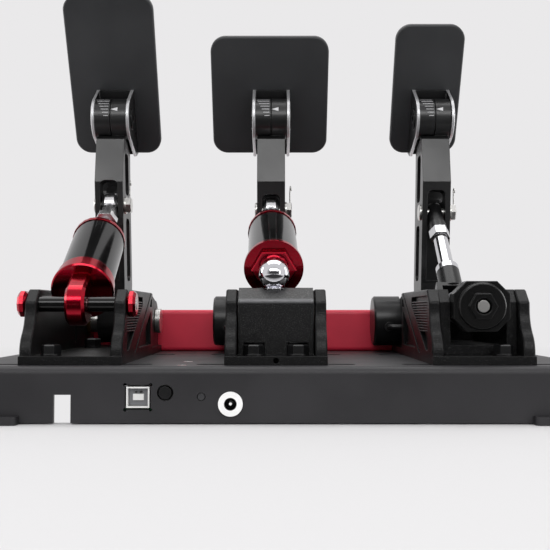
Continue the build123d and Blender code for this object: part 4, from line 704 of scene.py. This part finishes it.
# The black card's reach to both sides and towards the camera, its soft edges and its brightness
BLACK_CARD_X, BLACK_CARD_Y = (-0.40, 0.40), (-1.60, -0.18)
CARD_X_FADE, CARD_Y_FADE, CARD_LEVEL = 0.05, 0.04, 0.05
paper = bpy.data.materials.new("studio_paper")
paper.use_nodes = True
tree = paper.node_tree
tree.nodes.clear()
spot = add(tree, "TexCoord", {}).outputs["Object"]
axes = add(tree, "SeparateXYZ", {"Vector": spot})
floor_rays = add(tree, "LightPath", {})
distance = add(tree, "VectorMath", {0: spot}, operation="LENGTH")
fade = add(tree, "MapRange", {"Value": distance.outputs["Value"], "From Min": FADE_START,
                              "From Max": FADE_END}, interpolation_type="SMOOTHSTEP")
# Uncoated paper: matt, so it keeps only a soft shadow of the set
matt = add(tree, "BsdfDiffuse", {"Color": linear("#d2d1d2")})
glow = add(tree, "Emission", {"Color": PALE, "Strength": 1.0})
ground = add(tree, "MixShader", {0: fade.outputs[0], 1: matt.outputs[0], 2: glow.outputs[0]})
card_x = band(tree, axes.outputs["X"], *BLACK_CARD_X, CARD_X_FADE)
card_y = band(tree, axes.outputs["Y"], *BLACK_CARD_Y, CARD_Y_FADE)
card_area = add(tree, "Math", {0: card_x, 1: card_y}, operation="MULTIPLY")
carded = add(tree, "Math", {0: card_area.outputs[0], 1: floor_rays.outputs["Is Glossy Ray"]},
             operation="MULTIPLY")
card = add(tree, "Emission", {"Color": PALE, "Strength": CARD_LEVEL})
paper_look = add(tree, "MixShader", {0: carded.outputs[0], 1: ground.outputs[0], 2: card.outputs[0]})
add(tree, "OutputMaterial", {"Surface": paper_look.outputs[0]})
print("paper of", len(tree.nodes), "nodes")

# %% Floor
FLOOR_RADIUS = 3.0
bpy.ops.mesh.primitive_circle_add(vertices=96, radius=FLOOR_RADIUS, fill_type="NGON", location=(0, 0, 0))
floor = bpy.context.object
floor.name = "studio_floor"
floor.data.materials.append(paper)
print("floor", 2 * FLOOR_RADIUS, "m across")

# %% A glowing card inside the tray at the cable notch: painted light over the tray's shade
# The notch in the rear face, and how far the card is set aside, inwards and above the ground
NOTCH_X, NOTCH_WIDTH, NOTCH_HEIGHT = -0.1111, 0.0110, 0.0162
CARD_ASIDE, CARD_IN, CARD_LIFT = 0.0008, 0.0060, 0.0002
bpy.ops.mesh.primitive_plane_add(
    size=1, location=(NOTCH_X - CARD_ASIDE, REAR + CARD_IN, NOTCH_HEIGHT / 2 + CARD_LIFT),
    rotation=(math.radians(90), 0, 0))
notch_card = bpy.context.object
notch_card.name = "notch_card"
notch_card.scale = (NOTCH_WIDTH, NOTCH_HEIGHT, 1)
bpy.ops.object.transform_apply(location=True, rotation=True, scale=True)
# A glowing card, painted light: an even patch in the background's own colour where the tray's shade would
# fall
painted_glow_card = bpy.data.materials.new("painted_glow_card")
painted_glow_card.use_nodes = True
painted_glow_card.node_tree.nodes.clear()
shine = add(painted_glow_card.node_tree, "Emission", {"Color": PALE, "Strength": 1.0})
add(painted_glow_card.node_tree, "OutputMaterial", {"Surface": shine.outputs[0]})
notch_card.data.materials.append(painted_glow_card)
print("card of", NOTCH_WIDTH, "by", NOTCH_HEIGHT, "m")

# %% Lamps
AIM = (0, 0, 0.1)


def soft_box(name, where, size, level):
    """A rectangular lamp that faces the set. The level is its brightness as seen, where 1 is white."""
    lamp = bpy.data.lights.new(name, "AREA")
    lamp.shape = "RECTANGLE"
    lamp.size, lamp.size_y = size
    lamp.energy = level * math.pi * size[0] * size[1]
    lamp_object = bpy.data.objects.new(name, lamp)
    bpy.context.scene.collection.objects.link(lamp_object)
    lamp_object.location = where
    lamp_object.rotation_euler = (Vector(AIM) - Vector(where)).to_track_quat("-Z", "Y").to_euler()
    print(name, "of", round(lamp.energy, 1), "watts")


soft_box("high_box", where=(0, -1.45, 0.85), size=(1.7, 0.40), level=4.2)
soft_box("top_box", where=(0, 0.15, 1.3), size=(1.4, 0.8), level=2.0)
soft_box("band_box", where=(0.95, -1.1, 0.40), size=(0.25, 0.7), level=1.8)
soft_box("left_rim_box", where=(-1.4, 0.25, 0.45), size=(0.3, 0.9), level=3.0)
soft_box("right_rim_box", where=(1.4, 0.25, 0.45), size=(0.3, 0.9), level=3.0)

# %% Colours as written
bpy.context.scene.view_settings.view_transform = "Standard"
print("colours shown through", bpy.context.scene.view_settings.view_transform)
